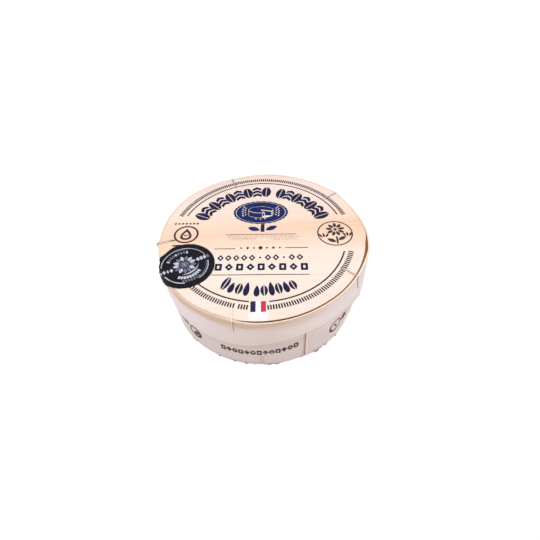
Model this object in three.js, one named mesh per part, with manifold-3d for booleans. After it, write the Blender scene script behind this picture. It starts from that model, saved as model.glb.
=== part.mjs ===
// A round camembert in its shut veneer box, standing on its base.
// Millimetres, +Z up. Origin: centre of the box's footprint, on the surface it stands on.
// Angles are in degrees about +Z, 0 along +X; -90 is the front.
import * as THREE from 'three';
import { mergeVertices } from 'three/addons/utils/BufferGeometryUtils.js';
import Module from 'manifold-3d';

// ---- driving dimensions ----
const HEIGHT = 41.6;            // floor to the lid hoop's rim
const LID_R = 57.2;             // lid hoop, outer radius before it goes out of round
const LID_DEPTH = 18.6;         // lid hoop, top to bottom
const LID_VENEER = 0.95;        // lid hoop's thickness
const DISC_T = 1.5;             // lid disc's thickness
const DISC_DROP = 0.35;         // lid disc's face below the hoop's rim
const DISC_GAP_MIN = 0.3;       // least gap from disc to hoop
const BASE_R = 55.45;           // base hoop, outer radius at the floor, away from the overlap
const BASE_TAPER = 0.35;        // how much the base hoop narrows up to its top edge
const BASE_TOP = 38.0;          // base hoop's top edge, hidden in the lid
const BASE_BORE = 53.9;         // base hoop's inner radius
const SEAM_AT = -71;            // where the base hoop's outer layer ends
const SEAM_STEP = 0.65;         // how proud the outer layer stands there
const LID_SEAM_AT = 72;         // where the lid hoop's outer layer ends, at the back
const LID_SEAM_STEP = 0.5;
const BODY_R = 53.6;            // bottom disc and filled box
const BODY_RECESS = 0.6;        // bottom disc above the floor
const BODY_TOP = 39.4;
const STAPLE_W = 1.0;           // staple wire, across
const STAPLE_T = 0.5;           // staple wire, thick
const STAPLE_TOP_LEG_END = 46.9;// radius where the leg on the disc ends
const STAPLE_SIDE_LEG = 9.9;    // length of the leg on the hoop's side
const STAPLE_PROUD = 0.2;       // how far the wire stands out of the wood
const CLEAR = 0.3;              // gap kept between neighbouring pieces
const LID_STAPLES_FROM = -108;  // five, 72 degrees apart
const BASE_STAPLES_FROM = -94.4;
const STAPLE_COUNT = 5;
const LABEL_R = 15.6;           // round paper label
const LABEL_X = -41.8, LABEL_Y = -18.3;
const LABEL_T = 0.2;
const LABEL_BEND = 1.0;         // bend radius over the rim
const SEGMENTS = 144;

// Bulges and flats of the lid hoop: the hoop is pinched where it is stapled and swells between.
const LID_BULGES = [
  { at: -10, dr: 1.0, width: 14 },
  { at: 20, dr: -0.5, width: 9 },
  { at: 104, dr: -0.55, width: 8 },
  { at: 131, dr: 0.9, width: 13 },
  { at: 170, dr: -0.5, width: 9 },
  { at: -50, dr: -0.15, width: 12 },
  { at: -95, dr: 0.8, width: 12 },
];
// Where the disc stands off the hoop: a dark gap along the front and the right.
const DISC_GAPS = [
  { at: -80, gap: 0.45, width: 14 },
  { at: -20, gap: 0.85, width: 16 },
];

const RAD = Math.PI / 180;
const TOP = HEIGHT;
const DISC_TOP = TOP - DISC_DROP;
const wrap = (a) => ((a + 180) % 360 + 360) % 360 - 180;
const bell = (deg, at, width) => Math.exp(-0.5 * (wrap(deg - at) / width) ** 2);
const smooth = (x) => { const t = Math.min(1, Math.max(0, x)); return t * t * (3 - 2 * t); };

// Outer radius of the lid hoop, with the end of its outer layer as a step at the back.
const lidRound = (deg) => LID_BULGES.reduce((r, b) => r + b.dr * bell(deg, b.at, b.width), LID_R);
const overlap = (deg, at, step, flat, fade) => {
  const past = ((deg - at) % 360 + 360) % 360;
  return step * (1 - smooth((past - flat) / fade));
};
const lidOuter = (deg) => lidRound(deg) + overlap(deg, LID_SEAM_AT, LID_SEAM_STEP, 26, 30) * 0.6;
const lidInner = (deg) => lidRound(deg) - LID_VENEER;
const discEdge = (deg) => lidInner(deg) - DISC_GAP_MIN
  - DISC_GAPS.reduce((g, b) => g + b.gap * bell(deg, b.at, b.width), 0);
const baseOuter = (deg) => BASE_R + overlap(deg, SEAM_AT, SEAM_STEP, 28, 60);

// Closed outline from a radius function. stepAt puts two points at a layer's end.
function outline(radius, stepAt = null) {
  const pts = [];
  for (let i = 0; i < SEGMENTS; i++) {
    const deg = (stepAt ?? 0) + (i * 360) / SEGMENTS;
    if (i === 0 && stepAt !== null) {
      const before = stepAt - 1e-6;
      pts.push(new THREE.Vector2(radius(before) * Math.cos(before * RAD), radius(before) * Math.sin(before * RAD)));
    }
    pts.push(new THREE.Vector2(radius(deg) * Math.cos(deg * RAD), radius(deg) * Math.sin(deg * RAD)));
  }
  return pts;
}

function strip(geometry) {
  const g = geometry.index ? geometry.toNonIndexed() : geometry.clone();
  g.deleteAttribute('normal');
  g.deleteAttribute('uv');
  return mergeVertices(g, 1e-5);
}

function ring(outer, inner, z0, z1, stepAt = null, steps = 1) {
  const shape = new THREE.Shape(outline(outer, stepAt));
  shape.holes.push(new THREE.Path(outline(inner).reverse()));
  const g = strip(new THREE.ExtrudeGeometry(shape, { depth: z1 - z0, steps, bevelEnabled: false }));
  g.translate(0, 0, z0);
  return g;
}

// ---- booleans ----
const wasm = await Module();
wasm.setup();
const solid = (geometry) => {
  const g = strip(geometry);
  return new wasm.Manifold(new wasm.Mesh({
    numProp: 3,
    vertProperties: new Float32Array(g.attributes.position.array),
    triVerts: new Uint32Array(g.index.array),
  }));
};
const geometryOf = (manifold) => {
  const m = manifold.getMesh();
  const g = new THREE.BufferGeometry();
  g.setAttribute('position', new THREE.BufferAttribute(new Float32Array(m.vertProperties), 3));
  g.setIndex(new THREE.BufferAttribute(new Uint32Array(m.triVerts), 1));
  return g;
};
// A box given by its radial, tangential and vertical span, turned to an angle.
function radialBox(r0, r1, width, z0, z1, deg) {
  const g = new THREE.BoxGeometry(r1 - r0, width, z1 - z0);
  g.translate((r0 + r1) / 2, 0, (z0 + z1) / 2);
  g.rotateZ(deg * RAD);
  return g;
}

// ---- staples: an L of flat wire, one leg on the disc, one down the hoop's side ----
function stapleWire(rFace, rEnd, zFace, zEnd, deg) {
  const s = Math.sign(zFace - zEnd);             // +1 on the lid, -1 under the base
  const outR = rFace + CLEAR;
  const p = [
    [rEnd, zFace + s * STAPLE_PROUD], [outR, zFace + s * STAPLE_PROUD], [outR, zEnd],
    [outR - STAPLE_T, zEnd], [outR - STAPLE_T, zFace + s * (STAPLE_PROUD - STAPLE_T)],
    [rEnd, zFace + s * (STAPLE_PROUD - STAPLE_T)],
  ].map(([r, z]) => new THREE.Vector2(r, z));
  const g = new THREE.ExtrudeGeometry(new THREE.Shape(p), { depth: STAPLE_W, bevelEnabled: false });
  g.translate(0, 0, -STAPLE_W / 2);
  g.rotateX(Math.PI / 2);                        // profile's second axis becomes +Z
  g.rotateZ(deg * RAD);
  return strip(g);
}
// The slot pressed into the wood round a staple.
function stapleSlots(rFace, rEnd, zFace, zEnd, deg) {
  const s = Math.sign(zFace - zEnd);
  const zIn = zFace + s * (STAPLE_PROUD - STAPLE_T - CLEAR), zOut = zFace + s * 3;
  const zStop = zEnd - s * CLEAR;
  const w = STAPLE_W + 2 * CLEAR;
  return [
    radialBox(rEnd - CLEAR, rFace + 3, w, Math.min(zIn, zOut), Math.max(zIn, zOut), deg),
    radialBox(rFace + CLEAR - STAPLE_T - CLEAR, rFace + 3, w, Math.min(zStop, zOut), Math.max(zStop, zOut), deg),
  ];
}
const lidStapleAngles = Array.from({ length: STAPLE_COUNT }, (_, i) => LID_STAPLES_FROM + i * (360 / STAPLE_COUNT));
const baseStapleAngles = Array.from({ length: STAPLE_COUNT }, (_, i) => BASE_STAPLES_FROM + i * (360 / STAPLE_COUNT));
const BASE_FACE = 0.25;                          // the base staples lie just above the floor
const lidStaple = (deg) => [lidOuter(deg), STAPLE_TOP_LEG_END, TOP, TOP - STAPLE_SIDE_LEG, deg];
const baseStaple = (deg) => [baseOuter(deg), 45.6, BASE_FACE, STAPLE_SIDE_LEG, deg];

function cutAll(geometry, cutters) {
  let m = solid(geometry);
  for (const c of cutters) m = m.subtract(solid(c));
  return geometryOf(m);
}
const lidCuts = lidStapleAngles.flatMap((a) => stapleSlots(...lidStaple(a)));
const baseCuts = baseStapleAngles.flatMap((a) => stapleSlots(...baseStaple(a)));

// ---- the wooden pieces ----
const lidHoop = cutAll(ring(lidOuter, lidInner, TOP - LID_DEPTH, TOP, LID_SEAM_AT), lidCuts);

const discShape = new THREE.Shape(outline(discEdge));
const lidDisc = (() => {
  const g = strip(new THREE.ExtrudeGeometry(discShape, { depth: DISC_T, bevelEnabled: false }));
  g.translate(0, 0, DISC_TOP - DISC_T);
  return cutAll(g, lidCuts);
})();

const baseHoop = (() => {
  const g = ring(baseOuter, () => BASE_BORE, 0, BASE_TOP, SEAM_AT, 2);
  const p = g.attributes.position;
  for (let i = 0; i < p.count; i++) {             // the hoop's outside narrows as it rises
    const r = Math.hypot(p.getX(i), p.getY(i));
    if (r > BASE_BORE + 0.3) {
      const k = (r - BASE_TAPER * (p.getZ(i) / BASE_TOP)) / r;
      p.setXY(i, p.getX(i) * k, p.getY(i) * k);
    }
  }
  return cutAll(g, baseCuts);
})();

// Bottom disc and the filled box above it, as one turned solid with a rounded bottom edge.
const boxBody = (() => {
  const profile = [
    [0, BODY_RECESS], [BODY_R - 0.5, BODY_RECESS], [BODY_R - 0.15, BODY_RECESS + 0.15],
    [BODY_R, BODY_RECESS + 0.5], [BODY_R, BODY_TOP - 0.5], [BODY_R - 0.5, BODY_TOP], [0, BODY_TOP],
  ].map(([r, z]) => new THREE.Vector2(r, z));
  const g = new THREE.LatheGeometry(profile, 96);
  g.rotateX(Math.PI / 2);
  return cutAll(g, baseCuts);
})();

// ---- the round paper label, laid on the lid and bent down over the rim ----
// Its rows lie at set distances s from the lid's centre, close together in the bend; a closed
// sphere's grid is laid over them, longitude 0 to 180 as the face and the rest as the back.
const labelGeometry = (() => {
  const half = LABEL_T / 2, columns = 36;
  const away = Math.hypot(LABEL_X, LABEL_Y), at = Math.atan2(LABEL_Y, LABEL_X);
  const onDisc = DISC_TOP + CLEAR + half, onRim = TOP + CLEAR + half;
  const bendAt = lidOuter(at / RAD) + CLEAR + half + 0.15 - LABEL_BEND;
  const bendEnd = bendAt + (Math.PI / 2) * LABEL_BEND;
  const near = away - LABEL_R, far = away + LABEL_R;
  const rows = [];
  for (let i = 0; i < 8; i++) rows.push(near + (52.5 - near) * (1 - Math.cos((Math.PI / 2) * (i / 8))));
  rows.push(52.5, 53.3, 54.2, 55.0);
  for (let i = 0; i <= 6; i++) rows.push(bendAt + ((bendEnd - bendAt) * i) / 6);
  for (let i = 1; i <= 4; i++) rows.push(bendEnd + (far - bendEnd) * Math.sin((Math.PI / 2) * (i / 4)));
  const g = strip(new THREE.SphereGeometry(1, columns, rows.length - 1).rotateX(Math.PI / 2));
  const p = g.attributes.position;
  for (let i = 0; i < p.count; i++) {
    const z0 = Math.min(1, Math.max(-1, p.getZ(i)));
    const row = Math.round((Math.acos(z0) / Math.PI) * (rows.length - 1));
    const s = rows[row];
    const lon = Math.atan2(p.getY(i), p.getX(i));
    const half_angle = Math.acos(Math.min(1, Math.max(-1, (s * s + away * away - LABEL_R ** 2) / (2 * s * away))));
    const deg = at - half_angle * Math.cos(lon);
    const pole = row === 0 || row === rows.length - 1;
    const off = pole ? 0 : half * Math.min(1, Math.max(-1, 3 * Math.sin(lon)));
    let r = s, z = onDisc + (onRim - onDisc) * smooth((s - 52.5) / 2.5) + off;
    if (s > bendAt) {
      const a = Math.min(Math.PI / 2, (s - bendAt) / LABEL_BEND);
      const rest = s - bendAt - a * LABEL_BEND;
      r = bendAt + (LABEL_BEND + off) * Math.sin(a);
      z = onRim - LABEL_BEND + (LABEL_BEND + off) * Math.cos(a) - rest;
    }
    p.setXYZ(i, r * Math.cos(deg), r * Math.sin(deg), z);
  }
  return g;
})();

// ---- scene graph ----
const box = new THREE.Group();
const add = (name, geometry, colour, roughness, metalness = 0) => {
  const m = new THREE.Mesh(geometry, new THREE.MeshStandardMaterial({ color: colour, roughness, metalness }));
  m.name = name;
  box.add(m);
  return m;
};
add('lid_disc', lidDisc, 0xfdead8, 0.75);
add('lid_hoop', lidHoop, 0xe1d5d0, 0.8);
add('base_hoop', baseHoop, 0xd5c8c1, 0.8);
add('box_body', boxBody, 0xe0cfc0, 0.8);
add('round_label', labelGeometry, 0x1c1c28, 0.45);
lidStapleAngles.forEach((a, i) => add(`lid_staple_${i + 1}`, stapleWire(...lidStaple(a)), 0x9a9694, 0.35, 0.9));
baseStapleAngles.forEach((a, i) => add(`base_staple_${i + 1}`, stapleWire(...baseStaple(a)), 0x9a9694, 0.35, 0.9));

export default box;
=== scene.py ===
import math

import bpy
import numpy as np
from mathutils import Matrix, Vector
from mathutils.geometry import tessellate_polygon


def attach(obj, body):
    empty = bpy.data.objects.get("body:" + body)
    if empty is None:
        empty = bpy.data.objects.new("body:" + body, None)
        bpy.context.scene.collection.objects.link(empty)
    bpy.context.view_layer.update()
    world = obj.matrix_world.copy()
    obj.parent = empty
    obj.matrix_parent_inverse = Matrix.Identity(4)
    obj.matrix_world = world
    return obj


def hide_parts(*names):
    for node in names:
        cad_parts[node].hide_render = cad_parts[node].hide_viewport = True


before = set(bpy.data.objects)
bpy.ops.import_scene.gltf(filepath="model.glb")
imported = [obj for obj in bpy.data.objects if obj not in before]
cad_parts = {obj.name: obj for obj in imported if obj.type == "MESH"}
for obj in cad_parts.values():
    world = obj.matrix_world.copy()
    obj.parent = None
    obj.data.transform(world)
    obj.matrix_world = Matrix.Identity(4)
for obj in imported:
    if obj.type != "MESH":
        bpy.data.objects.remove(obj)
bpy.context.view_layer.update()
MM = 0.001
scene = bpy.context.scene

# ------------------------------------------------------------------ sizes
HEIGHT, LID_R, LID_DEPTH, LID_VENEER = 41.6, 57.2, 18.6, 0.95
DISC_T, DISC_DROP = 1.5, 0.35
BASE_R, BASE_TAPER, BASE_TOP = 55.45, 0.35, 38.0
SEAM_AT, LID_SEAM_AT = -70.4, 72.0
BODY_R, BODY_RECESS, BODY_TOP = 53.6, 0.6, 39.4
LABEL_R, LABEL_X, LABEL_Y = 15.5, -41.0, -18.2
DISC_TOP = HEIGHT - DISC_DROP
LID_Z0 = HEIGHT - LID_DEPTH
LID_STAPLES = [-108 + 72 * i for i in range(5)]
BASE_STAPLES = [-94.4 + 72 * i for i in range(5)]
LID_BULGES = [(-10, 1.0, 14), (20, -0.5, 9), (104, -0.55, 8), (131, 0.9, 13), (170, -0.5, 9), (-50, -0.15, 12), (-95, 0.8, 12),
              (158, 0.45, 13), (-170, -0.5, 7), (35.5, 0.7, 4), (-16, 0.3, 3.5)]


def wrap(a):
    return (np.asarray(a, float) + 180.0) % 360.0 - 180.0


def bell(x, at, width):
    return np.exp(-0.5 * ((np.asarray(x, float) - at) / width) ** 2)


def bell_deg(deg, at, width):
    return np.exp(-0.5 * (wrap(np.asarray(deg, float) - at) / width) ** 2)


def smooth(x):
    t = np.clip(x, 0.0, 1.0)
    return t * t * (3 - 2 * t)


def wave(seed, lo, hi, count=14, fall=0.0):
    """A smooth wandering function of one value, about -1 to 1, of wavelengths lo to hi."""
    g = np.random.default_rng(seed)
    k = 2 * np.pi / np.exp(g.uniform(np.log(lo), np.log(hi), count))
    ph = g.uniform(0, 2 * np.pi, count)
    a = k ** (-fall)
    a = a / np.sqrt((a**2).sum() / 2)

    def f(x):
        x = np.asarray(x, float)
        return sum(ai * np.sin(ki * x + pi) for ai, ki, pi in zip(a, k, ph)) * 0.5

    return f


def round_wave(seed, n0, n1):
    """The same round a circle, in degrees, with n0 to n1 waves in a turn."""
    g = np.random.default_rng(seed)
    n = np.arange(n0, n1 + 1)
    if len(n) > 40:
        n = np.sort(g.choice(n, 40, replace=False))
    a = g.normal(0, 1, len(n)) / np.sqrt(len(n))
    ph = g.uniform(0, 2 * np.pi, len(n))

    def f(deg):
        t = np.radians(np.asarray(deg, float))
        return sum(ai * np.sin(ni * t + pi) for ai, ni, pi in zip(a, n, ph))

    return f


def field(seed, lo, hi, count=24, stretch=1.0):
    """A smooth wandering function of (x, y), of wavelengths lo to hi; longer along x by stretch."""
    g = np.random.default_rng(seed)
    k = 2 * np.pi / np.exp(g.uniform(np.log(lo), np.log(hi), count))
    d = g.uniform(0, 2 * np.pi, count)
    ph = g.uniform(0, 2 * np.pi, count)

    def f(x, y):
        x, y = np.asarray(x, float) / stretch, np.asarray(y, float)
        return sum(np.sin(ki * (math.cos(di) * x + math.sin(di) * y) + pi) for ki, di, pi in zip(k, d, ph)) / math.sqrt(count)

    return f


def table(pairs, width):
    """A smooth periodic function of degrees through (or near) a few (degrees, value) pairs."""
    at = np.array([p[0] for p in pairs], float)
    val = np.array([p[1] for p in pairs], float)

    def f(deg):
        deg = np.asarray(deg, float)
        w = np.exp(-0.5 * (wrap(deg[..., None] - at) / width) ** 2) + 1e-12
        return (w * val).sum(-1) / w.sum(-1)

    return f


# ------------------------------------------------------------------ outlines
VENEER = 0.80  # the lid's veneer as it shows at the rim
lid_wobble = round_wave(11, 5, 17)


def lid_round(deg):
    r = LID_R + sum(dr * bell_deg(deg, at, w) for at, dr, w in LID_BULGES)
    return r + 0.05 * lid_wobble(deg)


def thin(deg):
    """Where the rim's veneer is thinner than elsewhere, and by how much."""
    return 0.22 * bell_deg(deg, -68, 14) - 0.26 * bell_deg(deg, -27, 7)


def lid_inner(deg):
    return lid_round(deg) - VENEER + thin(deg)


# the lid's lower edge isn't level: it was stapled on a little askew
lid_low_edge = table([(-180, 22.3), (-165, 21.8), (-150, 21.3), (-135, 20.9), (-124, 20.5), (-112, 20.5), (-104, 21.3), (-98, 22.3),
                      (-92, 23.7), (-86, 24.3), (-80, 24.8), (-74, 25.3), (-68, 25.7), (-62, 25.6), (-56, 25.2), (-50, 24.5),
                      (-44, 23.5), (-38, 22.8), (-30, 22.4), (-20, 22.4), (0, 22.6), (30, 23.0), (60, 23.0), (90, 23.0), (120, 22.8), (150, 22.5)], 4.0)
base_low_r = table([(-180, 55.5), (-160, 55.55), (-148, 55.55), (-140, 55.65), (-130, 55.75), (-120, 55.9), (-112, 56.0), (-105, 56.1),
                    (-98, 55.98), (-90, 56.2), (-84, 56.25), (-78, 56.0), (-73, 55.9), (-69, 55.5), (-65, 55.4), (-58, 55.45), (-50, 55.25),
                    (-43, 55.15), (-30, 55.25), (-15, 55.35), (10, 55.4), (60, 55.4), (120, 55.45), (150, 55.5)], 4.5)


disc_rough = round_wave(12, 40, 420)


def lip(deg):
    """Where the hoop shows as a broad lip round the disc, at the front left, 0 to 1."""
    d = wrap(deg)
    return smooth((d + 152) / 18) * (1 - smooth((d + 108) / 9))



def disc_edge(deg):
    front = smooth((wrap(deg) + 106) / 8) * (1 - smooth((wrap(deg) + 13) / 12))
    gap = 0.04 + (0.36 + 0.58 * smooth((wrap(deg) + 135) / 20)) * lip(deg) + 0.76 * front + 0.72 * bell_deg(deg, -14, 6.5) + 0.24 * bell_deg(deg, -91, 11)
    return lid_round(deg) - VENEER + np.minimum(thin(deg), 0) - gap + 0.02 * disc_rough(deg)


def ledge_drop(deg):
    """How far below the disc's face its lower ply fills the gap."""
    return (0.46 + 0.85 * bell_deg(deg, -88, 11) + 0.62 * bell_deg(deg, -16, 9)) * (1 - 0.68 * lip(deg))


def disc_lift(x, y):
    """The disc sits level with the rim at the back and a little below it in front."""
    return 0.31 * smooth((np.asarray(y, float) + 20.0) / 60.0)


# ------------------------------------------------------------------ meshes
def make_mesh(name, verts, faces, mats, face_mats=None, smooth_faces=True, attrs=None):
    """verts in mm; attrs is {name: values per vertex}, one number or three."""
    me = bpy.data.meshes.new(name)
    me.from_pydata((np.asarray(verts, float) * MM).tolist(), [], faces)
    for m in mats:
        me.materials.append(m)
    if face_mats is not None:
        me.polygons.foreach_set("material_index", np.asarray(face_mats, np.int32))
    me.polygons.foreach_set("use_smooth", np.full(len(me.polygons), smooth_faces))
    for k, v in (attrs or {}).items():
        v = np.asarray(v, np.float32)
        if v.ndim == 1:
            me.attributes.new(k, "FLOAT", "POINT").data.foreach_set("value", v)
        else:
            me.attributes.new(k, "FLOAT_VECTOR", "POINT").data.foreach_set("vector", v.ravel())
    me.validate()
    me.update()
    ob = bpy.data.objects.new(name, me)
    scene.collection.objects.link(ob)
    return ob


def sharpen(ob, degrees):
    """Marks edges over this angle as sharp, so that a crisp corner stays crisp under smooth shading."""
    me = ob.data
    normals = np.zeros(len(me.polygons) * 3)
    me.polygons.foreach_get("normal", normals)
    normals = normals.reshape(-1, 3)
    seen = {}
    for p in me.polygons:
        for k in p.edge_keys:
            seen.setdefault(k, []).append(p.index)
    limit = math.cos(math.radians(degrees))
    flags = np.zeros(len(me.edges), bool)
    for i, e in enumerate(me.edges):
        f = seen.get(tuple(sorted(e.vertices)), [])
        flags[i] = len(f) == 2 and float(normals[f[0]] @ normals[f[1]]) < limit
    a = me.attributes.get("sharp_edge") or me.attributes.new("sharp_edge", "BOOLEAN", "EDGE")
    a.data.foreach_set("value", flags)
    me.update()


def grid_faces(rows, cols, close_rows=False, close_cols=False, flip=False, start=0):
    """Quads over a rows x cols grid of vertices, row by row."""
    out = []
    for i in range(rows if close_rows else rows - 1):
        i2 = (i + 1) % rows
        for j in range(cols if close_cols else cols - 1):
            j2 = (j + 1) % cols
            q = (start + i * cols + j, start + i2 * cols + j, start + i2 * cols + j2, start + i * cols + j2)
            out.append(q[::-1] if flip else q)
    return out


# ------------------------------------------------------------------ materials
def lin(r, g, b, k=1.0):
    def one(c):
        c = c / 255.0
        return (c / 12.92 if c <= 0.04045 else ((c + 0.055) / 1.055) ** 2.4) * k

    return (one(r), one(g), one(b), 1.0)


class Tree:
    """A short way to write node trees."""

    def __init__(self, name):
        self.mat = bpy.data.materials.new(name)
        self.mat.use_nodes = True
        self.nt = self.mat.node_tree
        self.nt.nodes.clear()
        self.out = self.nt.nodes.new("ShaderNodeOutputMaterial")
        self.bsdf = self.nt.nodes.new("ShaderNodeBsdfPrincipled")
        self.nt.links.new(self.bsdf.outputs["BSDF"], self.out.inputs["Surface"])

    def put(self, node, key, value):
        socket = node.inputs[key]
        if hasattr(value, "links"):
            self.nt.links.new(value, socket)
        else:
            socket.default_value = value

    def node(self, kind, inputs=None, **props):
        n = self.nt.nodes.new("ShaderNode" + kind)
        for k, v in props.items():
            setattr(n, k, v)
        for k, v in (inputs or {}).items():
            self.put(n, k, v)
        return n

    def attr(self, name, vector=False):
        n = self.node("Attribute", attribute_name=name)
        return n.outputs["Vector" if vector else "Fac"]

    def scaled(self, vec, sx, sy, sz=1.0, rot=0.0, loc=(0, 0, 0)):
        n = self.node("Mapping", {"Vector": vec, "Scale": (sx, sy, sz), "Rotation": (0, 0, rot), "Location": loc})
        return n.outputs["Vector"]

    def noise(self, vec, scale=1.0, detail=3.0, rough=0.5, distort=0.0):
        n = self.node("TexNoise", {"Vector": vec, "Scale": scale, "Detail": detail, "Roughness": rough, "Distortion": distort})
        return n.outputs["Fac"]

    def math(self, op, a, b=0.0, c=None, clamp=False):
        n = self.node("Math", operation=op, use_clamp=clamp)
        self.put(n, 0, a)
        self.put(n, 1, b)
        if c is not None:
            self.put(n, 2, c)
        return n.outputs[0]

    def remap(self, v, a, b, c=0.0, d=1.0, kind="SMOOTHSTEP"):
        n = self.node("MapRange", {"Value": v, "From Min": a, "From Max": b, "To Min": c, "To Max": d}, interpolation_type=kind)
        return n.outputs["Result"]

    def ramp(self, v, stops, kind="LINEAR"):
        n = self.node("ValToRGB", {"Fac": v})
        n.color_ramp.interpolation = kind
        e = n.color_ramp.elements
        while len(e) > 1:
            e.remove(e[-1])
        e[0].position, e[0].color = stops[0]
        for p, c in stops[1:]:
            el = e.new(p)
            el.color = c
        return n.outputs["Color"]

    def mix(self, fac, a, b, kind="MIX"):
        n = self.node("Mix", data_type="RGBA", blend_type=kind, clamp_factor=True)
        self.put(n, 0, fac)
        self.put(n, 6, a)
        self.put(n, 7, b)
        return n.outputs[2]

    def bump(self, height, strength, distance_mm, normal=None):
        n = self.node("Bump", {"Height": height, "Strength": strength, "Distance": distance_mm * MM})
        if normal is not None:
            self.put(n, "Normal", normal)
        return n.outputs["Normal"]

    def surface(self, **kw):
        names = {"color": "Base Color", "rough": "Roughness", "metal": "Metallic", "normal": "Normal", "spec": "Specular IOR Level", "coat": "Coat Weight", "coat_rough": "Coat Roughness", "sheen": "Sheen Weight"}
        for k, v in kw.items():
            self.put(self.bsdf, names[k], v)
        return self.mat


LIGHT = 1.25  # how bright a white surface facing up comes out; wood tones are divided by it


def wood_material(name, stops, lo, hi, tone, streak, fine=1.0, extra=None):
    """Rotary-cut veneer. The vertex attribute 'grain' holds mm along and across the fibres.
    stops are colours across the sheet from lo to hi mm, tone scales them, streak is how strong the lines are."""
    t = Tree(name)
    g = t.attr("grain", vector=True)
    sep = t.node("SeparateXYZ", {"Vector": g})
    across = sep.outputs[1]
    # slow wander of the growth bands, much longer along the fibres
    slow = t.noise(t.scaled(g, 0.011, 0.055, 1.0), 1.0, 2.0, 0.5)
    slow2 = t.noise(t.scaled(g, 0.03, 0.12, 1.0, loc=(7, 3, 0)), 1.0, 2.0, 0.55)
    shift = t.math("ADD", t.math("MULTIPLY", t.math("SUBTRACT", slow, 0.5), 22.0), t.math("MULTIPLY", t.math("SUBTRACT", slow2, 0.5), 9.0))
    v = t.math("ADD", across, shift)
    base = t.ramp(t.remap(v, lo, hi, kind="LINEAR"), stops)
    # growth lines: bands stretched along the fibres
    rings = t.noise(t.scaled(g, 0.012, 0.42, 1.0, loc=(3, 11, 0)), 1.0, 3.0, 0.55, 0.6)
    rings_f = t.remap(rings, 0.42, 0.70)
    lines = t.noise(t.scaled(g, 0.02, 1.7, 1.0, loc=(1, 5, 0)), 1.0, 4.0, 0.6, 0.35)
    lines_f = t.remap(lines, 0.48, 0.74)
    fibre = t.noise(t.scaled(g, 0.09, 5.5, 1.0), 1.0, 4.0, 0.62)
    fibre_f = t.remap(fibre, 0.3, 0.72)
    pores = t.noise(t.scaled(g, 0.45, 9.0, 1.0, loc=(5, 2, 0)), 1.0, 2.0, 0.5)
    pores_f = t.remap(pores, 0.66, 0.76)
    c = t.mix(t.math("MULTIPLY", rings_f, 0.34 * streak), base, t.mix(1.0, base, tone["band"], "MULTIPLY"))
    c = t.mix(t.math("MULTIPLY", lines_f, 0.30 * streak), c, t.mix(1.0, c, tone["line"], "MULTIPLY"))
    c = t.mix(t.math("MULTIPLY", fibre_f, 0.16 * fine), c, t.mix(1.0, c, tone["fibre"], "MULTIPLY"))
    c = t.mix(t.math("MULTIPLY", pores_f, 0.20 * fine), c, t.mix(1.0, c, tone["pore"], "MULTIPLY"))
    if extra:
        c = extra(t, g, c)
    height = t.math("ADD", t.math("MULTIPLY", fibre, 0.6), t.math("MULTIPLY", lines, 0.5))
    height = t.math("SUBTRACT", height, t.math("MULTIPLY", pores_f, 0.25))
    n = t.bump(height, 0.35, 0.10)
    rough = t.remap(fibre, 0.2, 0.8, 0.56, 0.74, "LINEAR")
    t.surface(color=c, rough=rough, normal=n, spec=0.28)
    return t.mat


TONE = {"band": lin(247, 222, 200), "line": lin(236, 205, 178), "fibre": lin(240, 222, 205), "pore": lin(205, 170, 140)}
K = 1.0 / LIGHT


def face_extra(t, g, c):
    # the warm heartwood band across the middle, widening to the right, with a flame of growth lines in it
    sep = t.node("SeparateXYZ", {"Vector": g})
    x, y = sep.outputs[0], sep.outputs[1]
    wob = t.noise(t.scaled(g, 0.022, 0.05, 1.0, loc=(2, 9, 0)), 1.0, 3.0, 0.6)
    cy = t.math("ADD", t.math("MULTIPLY", x, 0.045), t.math("MULTIPLY", t.math("SUBTRACT", wob, 0.5), 14.0))
    d = t.math("ABSOLUTE", t.math("SUBTRACT", t.math("SUBTRACT", y, 6.0), cy))
    wide = t.remap(x, -40.0, 55.0, 4.0, 9.0, "LINEAR")
    f = t.math("SUBTRACT", 1.0, t.math("DIVIDE", d, wide), clamp=True)
    streaks = t.noise(t.scaled(g, 0.02, 0.75, 1.0, loc=(8, 1, 0)), 1.0, 5.0, 0.62, 0.8)
    f2 = t.math("MULTIPLY", t.remap(f, 0.0, 0.9), t.remap(streaks, 0.36, 0.68))
    side = t.remap(x, -30.0, 50.0, 0.22, 0.55, "LINEAR")
    # paler sapwood drifts into it at both ends of the band
    ends = t.remap(t.math("ABSOLUTE", x), 26.0, 54.0)
    low = t.math("SUBTRACT", 1.0, t.math("DIVIDE", t.math("ABSOLUTE", t.math("ADD", y, 1.0)), 13.0), clamp=True)
    c = t.mix(t.math("MULTIPLY", t.math("MULTIPLY", ends, low), 0.55), c, lin(250, 208, 176, K))
    c = t.mix(t.math("MULTIPLY", f2, side), c, lin(240, 190, 152, K))
    # the upper left is a shade duller
    dull = t.math("MULTIPLY", t.remap(y, 22.0, 52.0), t.remap(x, 6.0, -34.0))
    c = t.mix(t.math("MULTIPLY", dull, 0.32), c, lin(226, 202, 194, K))
    # a soft pale patch round the small tricolour mark
    dx = t.math("DIVIDE", t.math("ABSOLUTE", t.math("ADD", x, 2.3)), 4.6)
    dy = t.math("DIVIDE", t.math("ABSOLUTE", t.math("ADD", y, 52.5)), 7.5)
    rr = t.math("ADD", t.math("POWER", dx, 3.5), t.math("POWER", dy, 4.0))
    c = t.mix(t.math("MULTIPLY", t.remap(rr, 1.8, 0.2), 0.72), c, lin(254, 246, 249, K))
    # wood pressed in beside the staples: painted shade there and along the cut edge
    c = t.mix(t.math("MULTIPLY", t.attr("mark"), 0.75), c, lin(150, 112, 84, K))
    # painted shade: dark brown below the disc's face, down in the gap round it
    return t.mix(t.attr("deep"), c, lin(160, 108, 68, K))


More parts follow.
